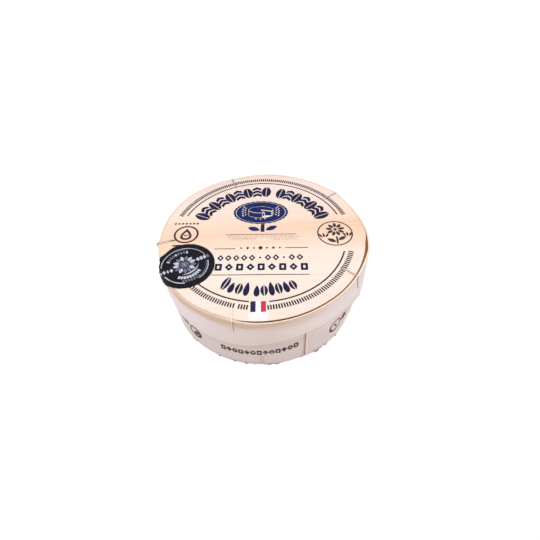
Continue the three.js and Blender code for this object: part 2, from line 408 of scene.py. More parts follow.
FACE_STOPS = [
    (0.00, lin(250, 232, 221, K)), (0.08, lin(250, 234, 223, K)), (0.20, lin(251, 234, 222, K)), (0.30, lin(251, 237, 227, K)),
    (0.40, lin(250, 229, 213, K)), (0.46, lin(250, 222, 200, K)), (0.51, lin(250, 218, 198, K)), (0.55, lin(249, 218, 198, K)),
    (0.61, lin(251, 224, 205, K)), (0.67, lin(250, 229, 216, K)), (0.78, lin(248, 228, 219, K)), (0.90, lin(247, 226, 219, K)),
    (1.00, lin(245, 223, 214, K)),
]
mat_face = wood_material("lid_face_wood", FACE_STOPS, -60, 60, TONE, 0.55, extra=face_extra)


def side_extra(t, g, c):
    c = t.mix(t.attr("tan"), c, lin(205, 168, 139))
    # painted shade: dark lines beside the staple legs and contact shadow along the foot and its tongues; also real
    # specks of brown grain under the lid
    c = t.mix(t.math("MULTIPLY", t.attr("mark"), 0.8), c, lin(112, 96, 92))
    # painted light: a highlight on the lapped seam's edge and brighter patches on the lower hoop
    c = t.mix(t.attr("pale"), c, lin(244, 226, 214))
    c = t.mix(t.attr("warm"), c, lin(212, 190, 174))
    c = t.mix(t.attr("shade"), c, lin(150, 134, 134))
    # painted shade: dark brown down the hoop's inner face below the disc's top, and in the lapped seam's step
    return t.mix(t.attr("deep"), c, lin(160, 108, 68, K))


def edge_extra(t, g, c):
    c = t.mix(t.attr("tan"), c, lin(216, 183, 165, K))
    # painted shade: dark brown on the edges down in the gap, and across the rim under the bowed staple
    return t.mix(t.attr("deep"), c, lin(160, 108, 68, K))


SIDE_K = 1.0
LID_SIDE_STOPS = [(0.0, lin(222, 208, 206, SIDE_K)), (0.25, lin(226, 212, 212, SIDE_K)), (0.5, lin(229, 215, 216, SIDE_K)), (0.75, lin(227, 214, 214, SIDE_K)), (1.0, lin(228, 214, 212, SIDE_K))]
BASE_SIDE_STOPS = [(0.0, lin(210, 195, 194, SIDE_K)), (0.3, lin(213, 197, 197, SIDE_K)), (0.6, lin(212, 196, 195, SIDE_K)), (0.8, lin(208, 191, 188, SIDE_K)), (1.0, lin(212, 197, 195, SIDE_K))]
SIDE_TONE = {"band": lin(240, 226, 215), "line": lin(226, 208, 196), "fibre": lin(238, 228, 222), "pore": lin(196, 172, 156)}
mat_lid_side = wood_material("lid_side_wood", LID_SIDE_STOPS, 20, 43, SIDE_TONE, 0.7, extra=side_extra)
mat_base_side = wood_material("base_side_wood", BASE_SIDE_STOPS, -2, 26, SIDE_TONE, 0.8, extra=side_extra)
EDGE_STOPS = [(0.0, lin(253, 238, 224, K)), (0.5, lin(254, 241, 228, K)), (1.0, lin(251, 234, 218, K))]
mat_edge = wood_material("veneer_edge", EDGE_STOPS, -60, 60, TONE, 0.7, fine=1.4, extra=edge_extra)
CUT_STOPS = [(0.0, lin(196, 158, 122)), (0.5, lin(206, 168, 130)), (1.0, lin(188, 148, 112))]
mat_cut = wood_material("veneer_cut_end", CUT_STOPS, -2, 26, TONE, 1.0, fine=1.6)
BOTTOM_STOPS = [(0.0, lin(244, 228, 212, K)), (0.35, lin(248, 232, 216, K)), (0.6, lin(240, 218, 198, K)), (1.0, lin(247, 231, 216, K))]


def bottom_extra(t, g, c):
    # painted shade in the staples' dents
    c = t.mix(t.math("MULTIPLY", t.attr("mark"), 0.75), c, lin(150, 112, 84, K))
    # painted shade: the inside darkens high up, where it shows through the gap
    return t.mix(t.attr("deep"), c, lin(112, 76, 56, K))


mat_bottom = wood_material("bottom_wood", BOTTOM_STOPS, -60, 60, TONE, 1.0, extra=bottom_extra)


def ink_material(name, rgb, rough=0.6, metal=0.0, wear=0.18, wear_rgb=(120, 112, 128), spec=0.12):
    """Printing ink that lets a little of the fibres through."""
    t = Tree(name)
    co = t.node("TexCoord").outputs["Object"]
    v = t.scaled(co, 90.0, 2600.0, 900.0, rot=math.radians(3))
    fibre = t.noise(v, 1.0, 4.0, 0.6)
    blot = t.noise(co, 240.0, 3.0, 0.6)
    base = lin(*rgb, K)
    lighter = lin(*[min(255, c + 18) for c in rgb], K)
    c = t.mix(t.remap(blot, 0.35, 0.75, 0.0, 0.6), base, lighter)
    c = t.mix(t.math("MULTIPLY", t.remap(fibre, 0.60, 0.80), wear), c, lin(*wear_rgb, K))
    t.surface(color=c, rough=t.remap(fibre, 0.2, 0.8, rough - 0.08, rough + 0.08, "LINEAR"), spec=spec, normal=t.bump(fibre, 0.25, 0.05))
    if metal:
        t.put(t.bsdf, "Metallic", metal)
    return t.mat


mat_navy = ink_material("ink_navy", (10, 31, 92))
mat_dark = ink_material("ink_dark_navy", (24, 24, 62))
mat_line = ink_material("ink_line", (40, 28, 42))
mat_sepia = ink_material("ink_sepia", (66, 46, 50))
mat_white = ink_material("ink_white", (252, 250, 253), wear=0.0)
mat_blue = ink_material("ink_flag_blue", (37, 37, 70))
mat_red = ink_material("ink_flag_red", (207, 52, 77), wear=0.12, wear_rgb=(240, 170, 170))
mat_brown = ink_material("ink_brown", (85, 62, 54), wear=0.3, wear_rgb=(140, 114, 102))


def steel_material(name, metal, pale):
    t = Tree(name)
    co = t.node("TexCoord").outputs["Object"]
    n = t.noise(co, 900.0, 4.0, 0.6)
    s = t.noise(t.scaled(co, 300.0, 3000.0, 3000.0), 1.0, 2.0, 0.5)
    c = t.mix(t.remap(n, 0.4, 0.7), lin(*pale), lin(*[v - 16 for v in pale]))
    d = t.mix(t.remap(n, 0.4, 0.7), lin(126, 98, 84), lin(92, 70, 60))
    # 'tone' darkens the wire: per staple, and as painted shade on the legs down the hoop's side
    c = t.mix(t.attr("tone"), c, d)
    t.surface(color=c, metal=metal, rough=t.remap(s, 0.3, 0.7, 0.3, 0.5, "LINEAR"), normal=t.bump(s, 0.3, 0.02))
    return t.mat


mat_steel = steel_material("staple_steel", 0.85, (250, 243, 240))
mat_bright = steel_material("staple_bright_wire", 0.50, (247, 236, 228))  # one wire is whiter than the others


def label_material():
    t = Tree("black_label_paper")
    co = t.node("TexCoord").outputs["Object"]
    n = t.noise(co, 700.0, 4.0, 0.6)
    m = t.noise(co, 120.0, 3.0, 0.6)
    c = t.mix(t.remap(m, 0.35, 0.7), lin(6, 5, 15), lin(13, 12, 24))
    c = t.mix(t.math("MULTIPLY", t.attr("crease"), 0.4), c, lin(60, 60, 74))
    t.surface(color=c, rough=t.remap(n, 0.3, 0.7, 0.42, 0.54, "LINEAR"), spec=0.12, normal=t.bump(n, 0.15, 0.04))
    return t.mat


mat_label = label_material()
mat_silver = ink_material("ink_silver", (199, 200, 215), rough=0.42, metal=0.2, wear=0.25, wear_rgb=(120, 120, 140))
mat_silver_dim = ink_material("ink_silver_dim", (112, 114, 136), rough=0.45, metal=0.2, wear=0.35, wear_rgb=(60, 60, 80))

# ------------------------------------------------------------------ lid disc
warp = field(21, 26, 60, 12)
# each lid staple: angle of its inner end, of its bend over the rim and of its lower end; height of that end; how dull it is
LID_WIRES = [(-110.2, -106.6, -107.1, 32.2, 0.0), (-34.2, -36.1, -34.7, 31.2, 0.62), (36.1, 35.5, 35.2, 31.4, 0.5), (106.9, 107.4, 107.2, 31.4, 0.66), (178.4, 180.7, 181.3, 31.6, 0.92)]
BASE_WIRES = [(a + d, a, a + e, h, k) for a, (d, e, h, k) in zip(BASE_STAPLES, ((0.4, 0.2, 9.0, 0.42), (-0.8, 0.3, 9.8, 0.6), (0.6, -0.4, 10.0, 0.4), (-0.3, 0.3, 9.6, 0.5), (0.9, 0.2, 9.9, 0.4)))]


def staple_dent(x, y):
    """How near a point of the lid is to a staple's leg, 0 to 1."""
    out = np.zeros(np.shape(x))
    for a0, a1, *_ in LID_WIRES:
        p = np.array([math.cos(math.radians(a0)), math.sin(math.radians(a0))]) * 47.0
        q = np.array([math.cos(math.radians(a1)), math.sin(math.radians(a1))]) * 57.6
        d = (q - p) / np.linalg.norm(q - p)
        along, side = (x - p[0]) * d[0] + (y - p[1]) * d[1], -(x - p[0]) * d[1] + (y - p[1]) * d[0]
        out = np.maximum(out, (0.45 if a1 < -90 else 1.0) * bell(side, 0, 0.36) * smooth((along + 0.5) / 0.5))
    return out


def disc_z(x, y):
    x, y = np.asarray(x, float), np.asarray(y, float)
    return DISC_TOP + disc_lift(x, y) + 0.06 * warp(x, y) - 0.16 * staple_dent(x, y)


def rim_tan(deg):
    """How tan the top of the rim is."""
    d = wrap(deg)
    return np.clip(0.72 * (1 - smooth((d + 116) / 16)) * smooth((d + 165) / 20) + 0.15 * bell_deg(deg, -95, 12), 0, 1)


def build_disc():
    seg, angles = 480, None
    angles = np.arange(seg) * 360.0 / seg
    share = np.concatenate([np.linspace(0.02, 0.80, 40), np.linspace(0.81, 0.995, 46), [0.9985, 1.0]])
    edge = disc_edge(angles)
    verts, mark = [], []
    c, s = np.cos(np.radians(angles)), np.sin(np.radians(angles))
    for k in share:
        r = edge * k
        x, y = r * c, r * s
        z = disc_z(x, y)
        if k > 0.999:
            z = z - 0.10
        elif k > 0.998:
            z = z - 0.02
        verts.append(np.stack([x, y, z], 1))
    rows = len(share)
    rough = round_wave(13, 100, 460)
    base = disc_z(edge * c, edge * s)
    ledge, wide = ledge_drop(angles), lid_inner(angles) - 0.02
    for i, (f, out) in enumerate([(0.55, 0), (0.97, 0), (1.0, 0.5), (1.0, 1)]):
        r = edge + (wide - edge) * out + (0.03 * rough(angles + 9 * i) if out == 0 else 0)
        verts.append(np.stack([r * c, r * s, base - 0.1 - (ledge - 0.1) * f - 0.015 * out], 1))
    verts.append(np.stack([wide * c, wide * s, np.full(seg, DISC_TOP - DISC_T + 0.08)], 1))
    for k in (0.997, 0.8, 0.4, 0.02):
        r = wide * k
        verts.append(np.stack([r * c, r * s, np.full(seg, DISC_TOP - DISC_T)], 1))
    n_rows = len(verts)
    v = np.concatenate(verts)
    top, bottom = len(v), len(v) + 1
    v = np.concatenate([v, [[0, 0, float(disc_z(0, 0))], [0, 0, DISC_TOP - DISC_T]]])
    faces = grid_faces(n_rows, seg, close_cols=True)
    mats = [0 if f[0] < (rows - 2) * seg else 1 for f in faces]
    mats = [0 if f[0] >= (rows + 5) * seg else m for f, m in zip(faces, mats)]
    for j in range(seg):
        faces.append((top, j, (j + 1) % seg))
        mats.append(0)
        b = (n_rows - 1) * seg
        faces.append((bottom, b + (j + 1) % seg, b + j))
        mats.append(0)
    x, y, z = v[:, 0], v[:, 1], v[:, 2]
    ang = math.radians(-2.0)
    grain = np.stack([x * math.cos(ang) + y * math.sin(ang), -x * math.sin(ang) + y * math.cos(ang), z], 1)
    r = np.hypot(x, y)
    deg = np.degrees(np.arctan2(y, x))
    edge_v = disc_edge(deg)
    # painted shade along the staples' dents, and darker towards the disc's edge by the gap
    mark = np.clip(0.40 * staple_dent(x, y) + (0.22 + 0.20 * lip(deg)) * smooth((r - edge_v + 0.30) / 0.35), 0, 1)
    # painted shade on the disc's edge and lower ply down in the gap, less where the hoop's lip shows
    deep = smooth((disc_z(x, y) - 0.05 - z) / 0.3) * (1 - 0.9 * lip(deg) * (disc_z(x, y) - z < 0.6))
    tan = np.clip(1.25 * rim_tan(deg), 0, 1) * smooth((r - edge_v + 0.02) / 0.1)
    ob = make_mesh("lid_disc_wood", v, faces, [mat_face, mat_edge], mats, attrs={"grain": grain, "mark": mark, "deep": deep, "tan": tan})
    sharpen(ob, 40)
    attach(ob, "root")
    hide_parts("lid_disc")
    return ob


build_disc()


# ------------------------------------------------------------------ hoops: one strip of veneer, its ends lapped
def build_hoop(name, seam, lap, round_r, offset, thick, z_of, rows_z, step, mats, attrs, grain_seed, node, end_dz=None):
    """s runs in degrees from the outer end, past a full turn, to the inner end under it."""
    total = 360.0 + lap
    cols = int(total / step) + 1
    s = np.linspace(0, total, cols)
    deg = seam + s
    off, th = offset(s), thick(s)
    jag0, jag1 = wave(grain_seed, 0.8, 6.0), wave(grain_seed + 1, 0.8, 6.0)
    # the cross-section, once round: outer face up, top edge, inner face down, bottom edge
    prof = []
    q = np.asarray(rows_z)
    for zq in q:
        prof.append(("out", 0.0, zq))
    prof += [("top", 0.10, 1.0), ("top", 0.35, 1.0), ("top", 0.65, 1.0), ("top", 0.90, 1.0)]
    for zq in (0.997, 0.985, 0.97, 0.95, 0.90, 0.6, 0.3, 0.0):
        prof.append(("in", 1.0, zq))
    prof += [("bottom", 0.90, 0.0), ("bottom", 0.65, 0.0), ("bottom", 0.35, 0.0), ("bottom", 0.10, 0.0)]
    P = len(prof)
    verts = np.zeros((cols, P, 3))
    arc = np.radians(s) * LID_R
    z0, z1 = z_of(deg)
    grain = np.zeros((cols, P, 3))
    extra = {k: np.zeros((cols, P)) for k in ("tan", "mark", "pale", "warm", "deep", "shade")}
    fray = wave(grain_seed + 2, 0.6, 3.0)
    kinds = [p[0] for p in prof]
    for j, (kind, depth, zq) in enumerate(prof):
        z = z0 + (z1 - z0) * zq
        if kind == "top":
            z = z + (0.05 if 0.2 < depth < 0.8 else 0.02) + 0.045 * jag1(arc + 2.1 * depth) + 0.02 * jag0(arc * 2.7 + 5 * depth)
        if kind == "bottom":
            z = z - 0.02 - 0.03 * np.abs(jag0(arc + 1.7 * depth))
            z = np.maximum(z, 0.0)
        r = round_r(deg, z) + off - th * depth
        d = deg
        # the cut end is a little ragged
        pull = np.zeros(cols)
        pull[:3] = [1.0, 0.5, 0.0]
        pull[-3:] = [0.0, -0.5, -1.0]
        d = deg + pull * (0.12 * float(fray(zq * 21.0)) + 0.05 * depth)
        verts[:, j, 0] = r * np.cos(np.radians(d))
        verts[:, j, 1] = r * np.sin(np.radians(d))
        verts[:, j, 2] = z
        grain[:, j, 0] = arc + 300.0 * (grain_seed % 7)
        grain[:, j, 1] = z + (0 if kind in ("out", "in") else depth * 3)
        grain[:, j, 2] = depth * 5
        a = attrs(deg, z, s, kind, depth)
        for k in a:
            extra[k][:, j] = a[k]
    faces = grid_faces(cols, P, close_cols=True, flip=True)
    n = len(faces)
    fm = []
    kind_mat = {"out": 0, "in": 0, "top": 1, "bottom": 1}
    for i in range(cols - 1):
        for j in range(P):
            a, b = kinds[j], kinds[(j + 1) % P]
            fm.append(1 if "top" in (a, b) or "bottom" in (a, b) else 0)
    first = list(range(P))
    last = [(cols - 1) * P + j for j in range(P)]
    faces.append(tuple(first))
    faces.append(tuple(last[::-1]))
    fm += [2, 2]
    v = verts.reshape(-1, 3)
    ob = make_mesh(name, v, faces, mats, fm, attrs={"grain": grain.reshape(-1, 3), **{k: e.ravel() for k, e in extra.items()}})
    sharpen(ob, 38)
    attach(ob, "root")
    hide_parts(node)
    return ob


lid_face_wave = wave(31, 6, 30)
lid_low = round_wave(33, 3, 9)


def lid_r(deg, z):
    # pinched under each staple, and pressed in by its leg
    r = lid_round(deg)
    for a0, a1, a2, low, dull in LID_WIRES:
        at = a1 + (a2 - a1) * (HEIGHT - z) / (HEIGHT - low)
        r = r - 0.12 * bell_deg(deg, at, 0.42) * smooth((z - low + 0.4) / 0.6)
    lower = smooth((HEIGHT - z) / LID_DEPTH)
    flare = 1.05 * bell_deg(deg, -31, 8) + 0.12 * bell_deg(deg, -156, 26) + 0.40 * bell_deg(deg, -161, 3.5) - 0.5 * bell_deg(deg, -153.8, 3.5) + 0.35 * bell_deg(deg, -37, 3) + 0.55 * bell_deg(deg, -31.8, 1.2) * smooth((24.2 - z) / 1.2)
    return r + lower * (flare - 0.10 * (1 + 0.5 * lid_low(deg))) + 0.02 * lid_face_wave(z * 2 + deg * 0.3)


def lid_off(s):
    return 0.22 * (1 - smooth((s - 14) / 24)) - 0.42 * smooth((s - 338) / 20)


def lid_thick(s):
    return VENEER - thin(LID_SEAM_AT + s) - 0.20 * (1 - smooth((s - 14) / 24)) - 0.42 * smooth((s - 338) / 20)


rim_low, bottom_low = round_wave(35, 4, 14), round_wave(36, 4, 14)


def lid_z(deg):
    z0 = lid_low_edge(deg) + 0.10 * bottom_low(deg)
    z1 = HEIGHT + 0.06 * rim_low(deg)
    for a0, a1, *_ in LID_WIRES:
        z1 = z1 - 0.16 * bell_deg(deg, a1, 0.5)
    return z0, z1


band_edge = round_wave(37, 4, 24)
band_fade = round_wave(38, 2, 7)
band_streak = wave(39, 1.0, 5.0)


def lid_attrs(deg, z, s, kind, depth):
    if kind == "in":
        # painted shade on the inner face below the disc's top
        top = DISC_TOP + disc_lift(0, LID_R * np.sin(np.radians(deg)))
        return {"deep": smooth((top - 0.02 - z) / 0.25)}
    if kind == "top":
        # painted shadow across the rim's top under the bowed staple at 180 degrees
        return {"tan": np.clip(rim_tan(deg) + 0.26 * bell_deg(deg, 31, 14), 0, 1), "deep": 0.7 * bell_deg(deg, 180.4, 0.7)}
    if kind == "out":
        # a tan band along the top of the strip, strongest at the front left
        lo = 36.5 - 0.5 * bell_deg(deg, -126, 12) + 1.0 * bell_deg(deg, -84, 9) + 0.4 * band_edge(deg)
        strength = 0.13 + 0.74 * bell_deg(deg, -134, 18) + 0.70 * bell_deg(deg, -102, 11) + 0.40 * bell_deg(deg, -86, 8) + 0.12 * bell_deg(deg, 60, 60)
        strength = strength * (0.90 + 0.22 * band_streak(3.2 * z + 0.05 * deg)) + 0.25 * bell_deg(deg, -110, 8) * bell(z, 38.4, 0.7)
        strength = np.clip(strength + 0.06 * band_fade(deg), 0, 1)
        tan = smooth((z - lo) / 2.2) * (1 - 0.45 * smooth((z - 40.9) / 0.5) * bell_deg(deg, -80, 20)) * strength
        # below the band its colour fades out slowly
        d = wrap(deg)
        amount = 0.44 * smooth((d + 146) / 8) * (1 - smooth((d + 74) / 22)) - 0.14 * bell(d, -120, 5) + 0.26 * bell(d, -110, 4) + 0.14 * bell(d, -87, 5)
        fade = smooth((z - 33.2) / 5.0) * (1 - 0.9 * bell(d, -99.5, 5) * smooth((z - 36.6) / 1.2))
        tan = 1 - (1 - tan) * (1 - np.clip(amount, 0, 1) * fade * (0.93 + 0.14 * band_streak(2.7 * z + 0.04 * deg)))
        grey = 0.05 * smooth((z - 32) / 2) * smooth((d + 148) / 6) * (1 - smooth((d + 76) / 8)) + 0.12 * bell(d, -152, 4.5) * smooth((z - 33) / 2)
        # painted shade: dark lines either side of each staple's leg down the hoop
        mark = np.zeros(len(deg))
        for a0, a1, a2, low, dull in LID_WIRES:
            at = a1 + (a2 - a1) * (HEIGHT - z) / (HEIGHT - low)
            on = smooth((z - low + 0.6) / 0.8)
            left, right = (0.15, 1.0) if a1 < -90 else (0.6, 0.36)
            mark = np.maximum(mark, (left * bell_deg(deg, at - 0.42, 0.16) + right * bell_deg(deg, at + 0.50, 0.24)) * on)
        edge = smooth((lid_low_edge(deg) + 0.6 - z) / 0.5)
        warm = (0.55 * bell_deg(deg, -91, 12) * smooth((39 - z) / 8) + 0.18 * bell_deg(deg, -112, 10)) + 0.35 * edge * bell_deg(deg, -80, 22)
        return {"tan": tan, "mark": mark, "warm": np.clip(warm, 0, 1), "shade": 0.05 * bell_deg(deg, -108, 24) + grey}
    return {}


build_hoop("lid_hoop_wood", LID_SEAM_AT, 24.0, lid_r, lid_off, lid_thick, lid_z,
           np.concatenate([[0.0, 0.01], np.linspace(0.03, 0.96, 34), [0.975, 0.99, 0.997]]), 0.3,
           [mat_lid_side, mat_edge, mat_cut], lid_attrs, 41, "lid_hoop")

base_low = round_wave(51, 2, 6)
base_wave = wave(52, 5, 26)


# small torn tongues of veneer along the lower edge: angle, how far they stand out, width
TONGUES = [(-139.0, 0.40, 0.9), (-136.9, 0.45, 0.8), (-119.2, 0.55, 0.9), (-110.0, 0.40, 0.8), (-103.3, 0.62, 0.9), (-98.6, 0.30, 0.6), (-93.6, 0.25, 0.6),
           (-90.8, 0.45, 1.1), (-86.4, 0.50, 1.2), (-71.9, 0.55, 1.5), (-62.8, 1.0, 2.2), (-59.6, 0.35, 0.9), (-56.2, 0.55, 1.3), (-47.6, 0.6, 1.1), (12.0, 0.4, 1.0), (47.0, 0.5, 0.8), (98.0, 0.4, 1.0), (141.0, 0.5, 0.9), (171.0, 0.4, 0.8)]


def tongue(deg, z):
    out = 0.0
    for at, amp, width in TONGUES:
        out = out + amp * bell_deg(deg, at, width * 0.62)
    return out * smooth((1.5 - z) / 1.1)


def base_r(deg, z):
    r = base_low_r(deg) + 0.018 * np.minimum(z, 20) * bell_deg(deg, -160, 22) + tongue(deg, z)
    r = r - 0.5 * bell_deg(deg, -32, 6) * smooth((8 - z) / 4) + 0.34 * bell_deg(deg, -146, 9) * smooth((16 - z) / 8)
    for a0, a1, a2, high, dull in BASE_WIRES:
        at = a1 + (a2 - a1) * z / high
        r = r - 0.10 * bell_deg(deg, at, 0.42) * smooth((high + 0.4 - z) / 0.6)
    r = r + 0.02 * base_wave(z * 2 + deg * 0.3)
    # up inside the lid it is held in by the lid's hoop
    hold = lid_r(deg, np.maximum(z, lid_low_edge(deg))) - VENEER - 0.30
    k = smooth((z - lid_low_edge(deg) + 1.0) / 2.0)
    return r + k * np.minimum(0.0, hold - 0.30 - r)


def base_off(s):
    lip = 0.14 * np.exp(-s / 1.0)
    return 0.30 * (1 - smooth((s - 16) / 26)) - 0.36 * smooth((s - 338) / 20) + lip


def base_thick(s):
    return 0.72 - 0.06 * (1 - smooth((s - 16) / 26)) - 0.32 * smooth((s - 338) / 20)


base_bottom = round_wave(55, 30, 160)


def base_z(deg):
    z0 = np.maximum(0.0, 0.05 * base_bottom(deg))
    for a0, a1, *_ in BASE_WIRES:
        z0 = np.maximum(z0, 0.42 * bell_deg(deg, a1, 0.6))
    return z0, np.full(np.shape(deg), BASE_TOP)


def base_attrs(deg, z, s, kind, depth):
    out = {}
    if kind == "out":
        # painted light: a highlight on the lapped end's edge, the upper hoop brightened at the right front, and its
        # lower right brightened as if lit from the floor
        pale = 0.38 * np.exp(-0.5 * ((s - 0.75) / 0.3) ** 2) + 0.28 * bell_deg(deg, -56, 9) * smooth((z - 13) / 6)
        pale = pale + 0.30 * bell_deg(deg, -34, 8) * smooth((10 - z) / 6) + 0.15 * bell_deg(deg, -19, 6) * smooth((z - 15) / 3)
        line = 1 - smooth((s - 0.06) / 0.26)
        tan = 0.25 * np.exp(-((360 - s) % 384) / 0.5) * (s <= 360) + line
        # rubbed brown grain just under the lid, and painted contact shadow along the foot
        top = lid_low_edge(deg)
        rag = base_wave(deg * 1.9 + 3.0 * z)
        under = (0.95 * bell_deg(deg, -90, 8.5) + 0.25 * bell_deg(deg, -60, 18)) * smooth((z - (top - 4.6) + 0.7 * rag) / 2.6)
        speck = 0.10 * (0.5 + 0.5 * rag) * bell_deg(deg, -95, 14)
        # painted shade: dark lines either side of each staple's leg up the hoop
        mark = np.zeros(len(deg))
        for a0, a1, a2, high, dull in BASE_WIRES:
            at = a1 + (a2 - a1) * z / high
            on = smooth((high + 0.6 - z) / 0.8)
            amp = 0.12 if abs(a1 + 94) < 5 else 0.30
            mark = np.maximum(mark, amp * (bell_deg(deg, at - 0.45, 0.18) + bell_deg(deg, at + 0.45, 0.18)) * on)
        # painted contact shadow: the lower edge, its tongues and a few spots along it darkened
        foot = 0.16 * smooth((1.4 - z) / 1.3) + 0.9 * np.clip(tongue(deg, z) * 1.6, 0, 1)
        foot = foot + (0.95 * bell_deg(deg, -88.4, 2.3) + 0.8 * bell_deg(deg, -103.0, 1.0) + 0.7 * bell_deg(deg, -111.0, 1.0) + 0.7 * bell_deg(deg, -119.4, 0.9)) * smooth((1.25 - z) / 0.5)
        shade = 0.09 * bell_deg(deg, -122, 20) + 0.12 * smooth((6 - z) / 6) * (0.4 + 0.6 * bell_deg(deg, -108, 28))
        shade = shade + 0.17 * bell_deg(deg, -94.6, 1.3) * smooth((9.5 - z) / 1.5) + 0.08 * bell_deg(deg, -102, 14) * smooth((3.5 - z) / 2.5) + 0.16 * bell_deg(deg, -159, 4) * smooth((21 - z) / 3)
        # the seam's line is also darkened here as painted shade in the step of the lap
        out = {"tan": np.clip(tan + under * 0.7, 0, 1), "mark": np.clip(np.maximum(mark, foot) + speck, 0, 1), "pale": pale, "warm": 0.35 * under + 0.42 * bell_deg(deg, -95, 11) * smooth((11 - z) / 3) * smooth(z / 3), "shade": shade, "deep": 0.42 * line}
    if kind == "bottom":
        out = {"tan": np.full(len(deg), 0.6)}
    return out


build_hoop("base_hoop_wood", SEAM_AT, 24.0, base_r, base_off, base_thick, base_z,
           np.concatenate([[0.0, 0.008, 0.018, 0.03, 0.045], np.linspace(0.062, 0.70, 34), [0.8, 0.9, 0.99]]), 0.3,
           [mat_base_side, mat_edge, mat_cut], base_attrs, 61, "base_hoop")


# ------------------------------------------------------------------ bottom disc and filled inside
def build_body():
    seg = 288
    angles = np.arange(seg) * 360.0 / seg
    c, s = np.cos(np.radians(angles)), np.sin(np.radians(angles))
    wob = field(71, 24, 60, 10)
    rough = round_wave(72, 30, 140)
    rows = []

    def dent(x, y):
        out = np.zeros(np.shape(x))
        for a0, a1, *_ in BASE_WIRES:
            p = np.array([math.cos(math.radians(a0)), math.sin(math.radians(a0))]) * 45.7
            q = np.array([math.cos(math.radians(a1)), math.sin(math.radians(a1))]) * 55.6
            d = (q - p) / np.linalg.norm(q - p)
            along, side = (x - p[0]) * d[0] + (y - p[1]) * d[1], -(x - p[0]) * d[1] + (y - p[1]) * d[0]
            out = np.maximum(out, bell(side, 0, 0.42) * smooth((along + 0.5) / 0.6))
        return out

    def bottom_z(x, y):
        return BODY_RECESS + 0.05 * wob(x, y) + 0.22 * dent(x, y)

    share = np.concatenate([np.linspace(0.03, 0.82, 26), np.linspace(0.83, 0.996, 28)])
    for k in share:
        r = BODY_R * k
        x, y = r * c, r * s
        rows.append(np.stack([x, y, bottom_z(x, y)], 1))
    r = BODY_R - 0.04 + 0.03 * rough(angles)
    for z in (BODY_RECESS + 0.14, 1.2, 1.9, 2.1):
        rows.append(np.stack([r * c, r * s, np.full(seg, z)], 1))
    r2 = BODY_R - 0.7
    for z in (2.15, 12.0, 24.0, 36.0, BODY_TOP):
        rows.append(np.stack([r2 * c, r2 * s, np.full(seg, z)], 1))
    for k in (0.7, 0.35, 0.03):
        rows.append(np.stack([r2 * k * c, r2 * k * s, np.full(seg, BODY_TOP)], 1))
    v = np.concatenate(rows)
    n = len(rows)
    lowest, highest = len(v), len(v) + 1
    v = np.concatenate([v, [[0, 0, float(bottom_z(0.0, 0.0))], [0, 0, BODY_TOP]]])
    faces = grid_faces(n, seg, close_cols=True, flip=True)
    for j in range(seg):
        faces.append((lowest, (j + 1) % seg, j))
        b = (n - 1) * seg
        faces.append((highest, b + j, b + (j + 1) % seg))
    ang = math.radians(24)
    x, y = v[:, 0], v[:, 1]
    grain = np.stack([x * math.cos(ang) + y * math.sin(ang), -x * math.sin(ang) + y * math.cos(ang) + 80, v[:, 2]], 1)
    grain[:, 1] -= 80
    # painted shade in the staples' dents on the bottom
    mark = 0.5 * dent(x, y) * (v[:, 2] < 1.5)
    # painted shade: the inside darkens from 30 mm up, where it shows through the gap
    ob = make_mesh("bottom_disc_wood", v, faces, [mat_bottom], attrs={"grain": grain, "mark": mark, "deep": smooth((v[:, 2] - 30.0) / 5.0)})
    sharpen(ob, 40)
    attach(ob, "root")
    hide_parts("box_body")


build_body()


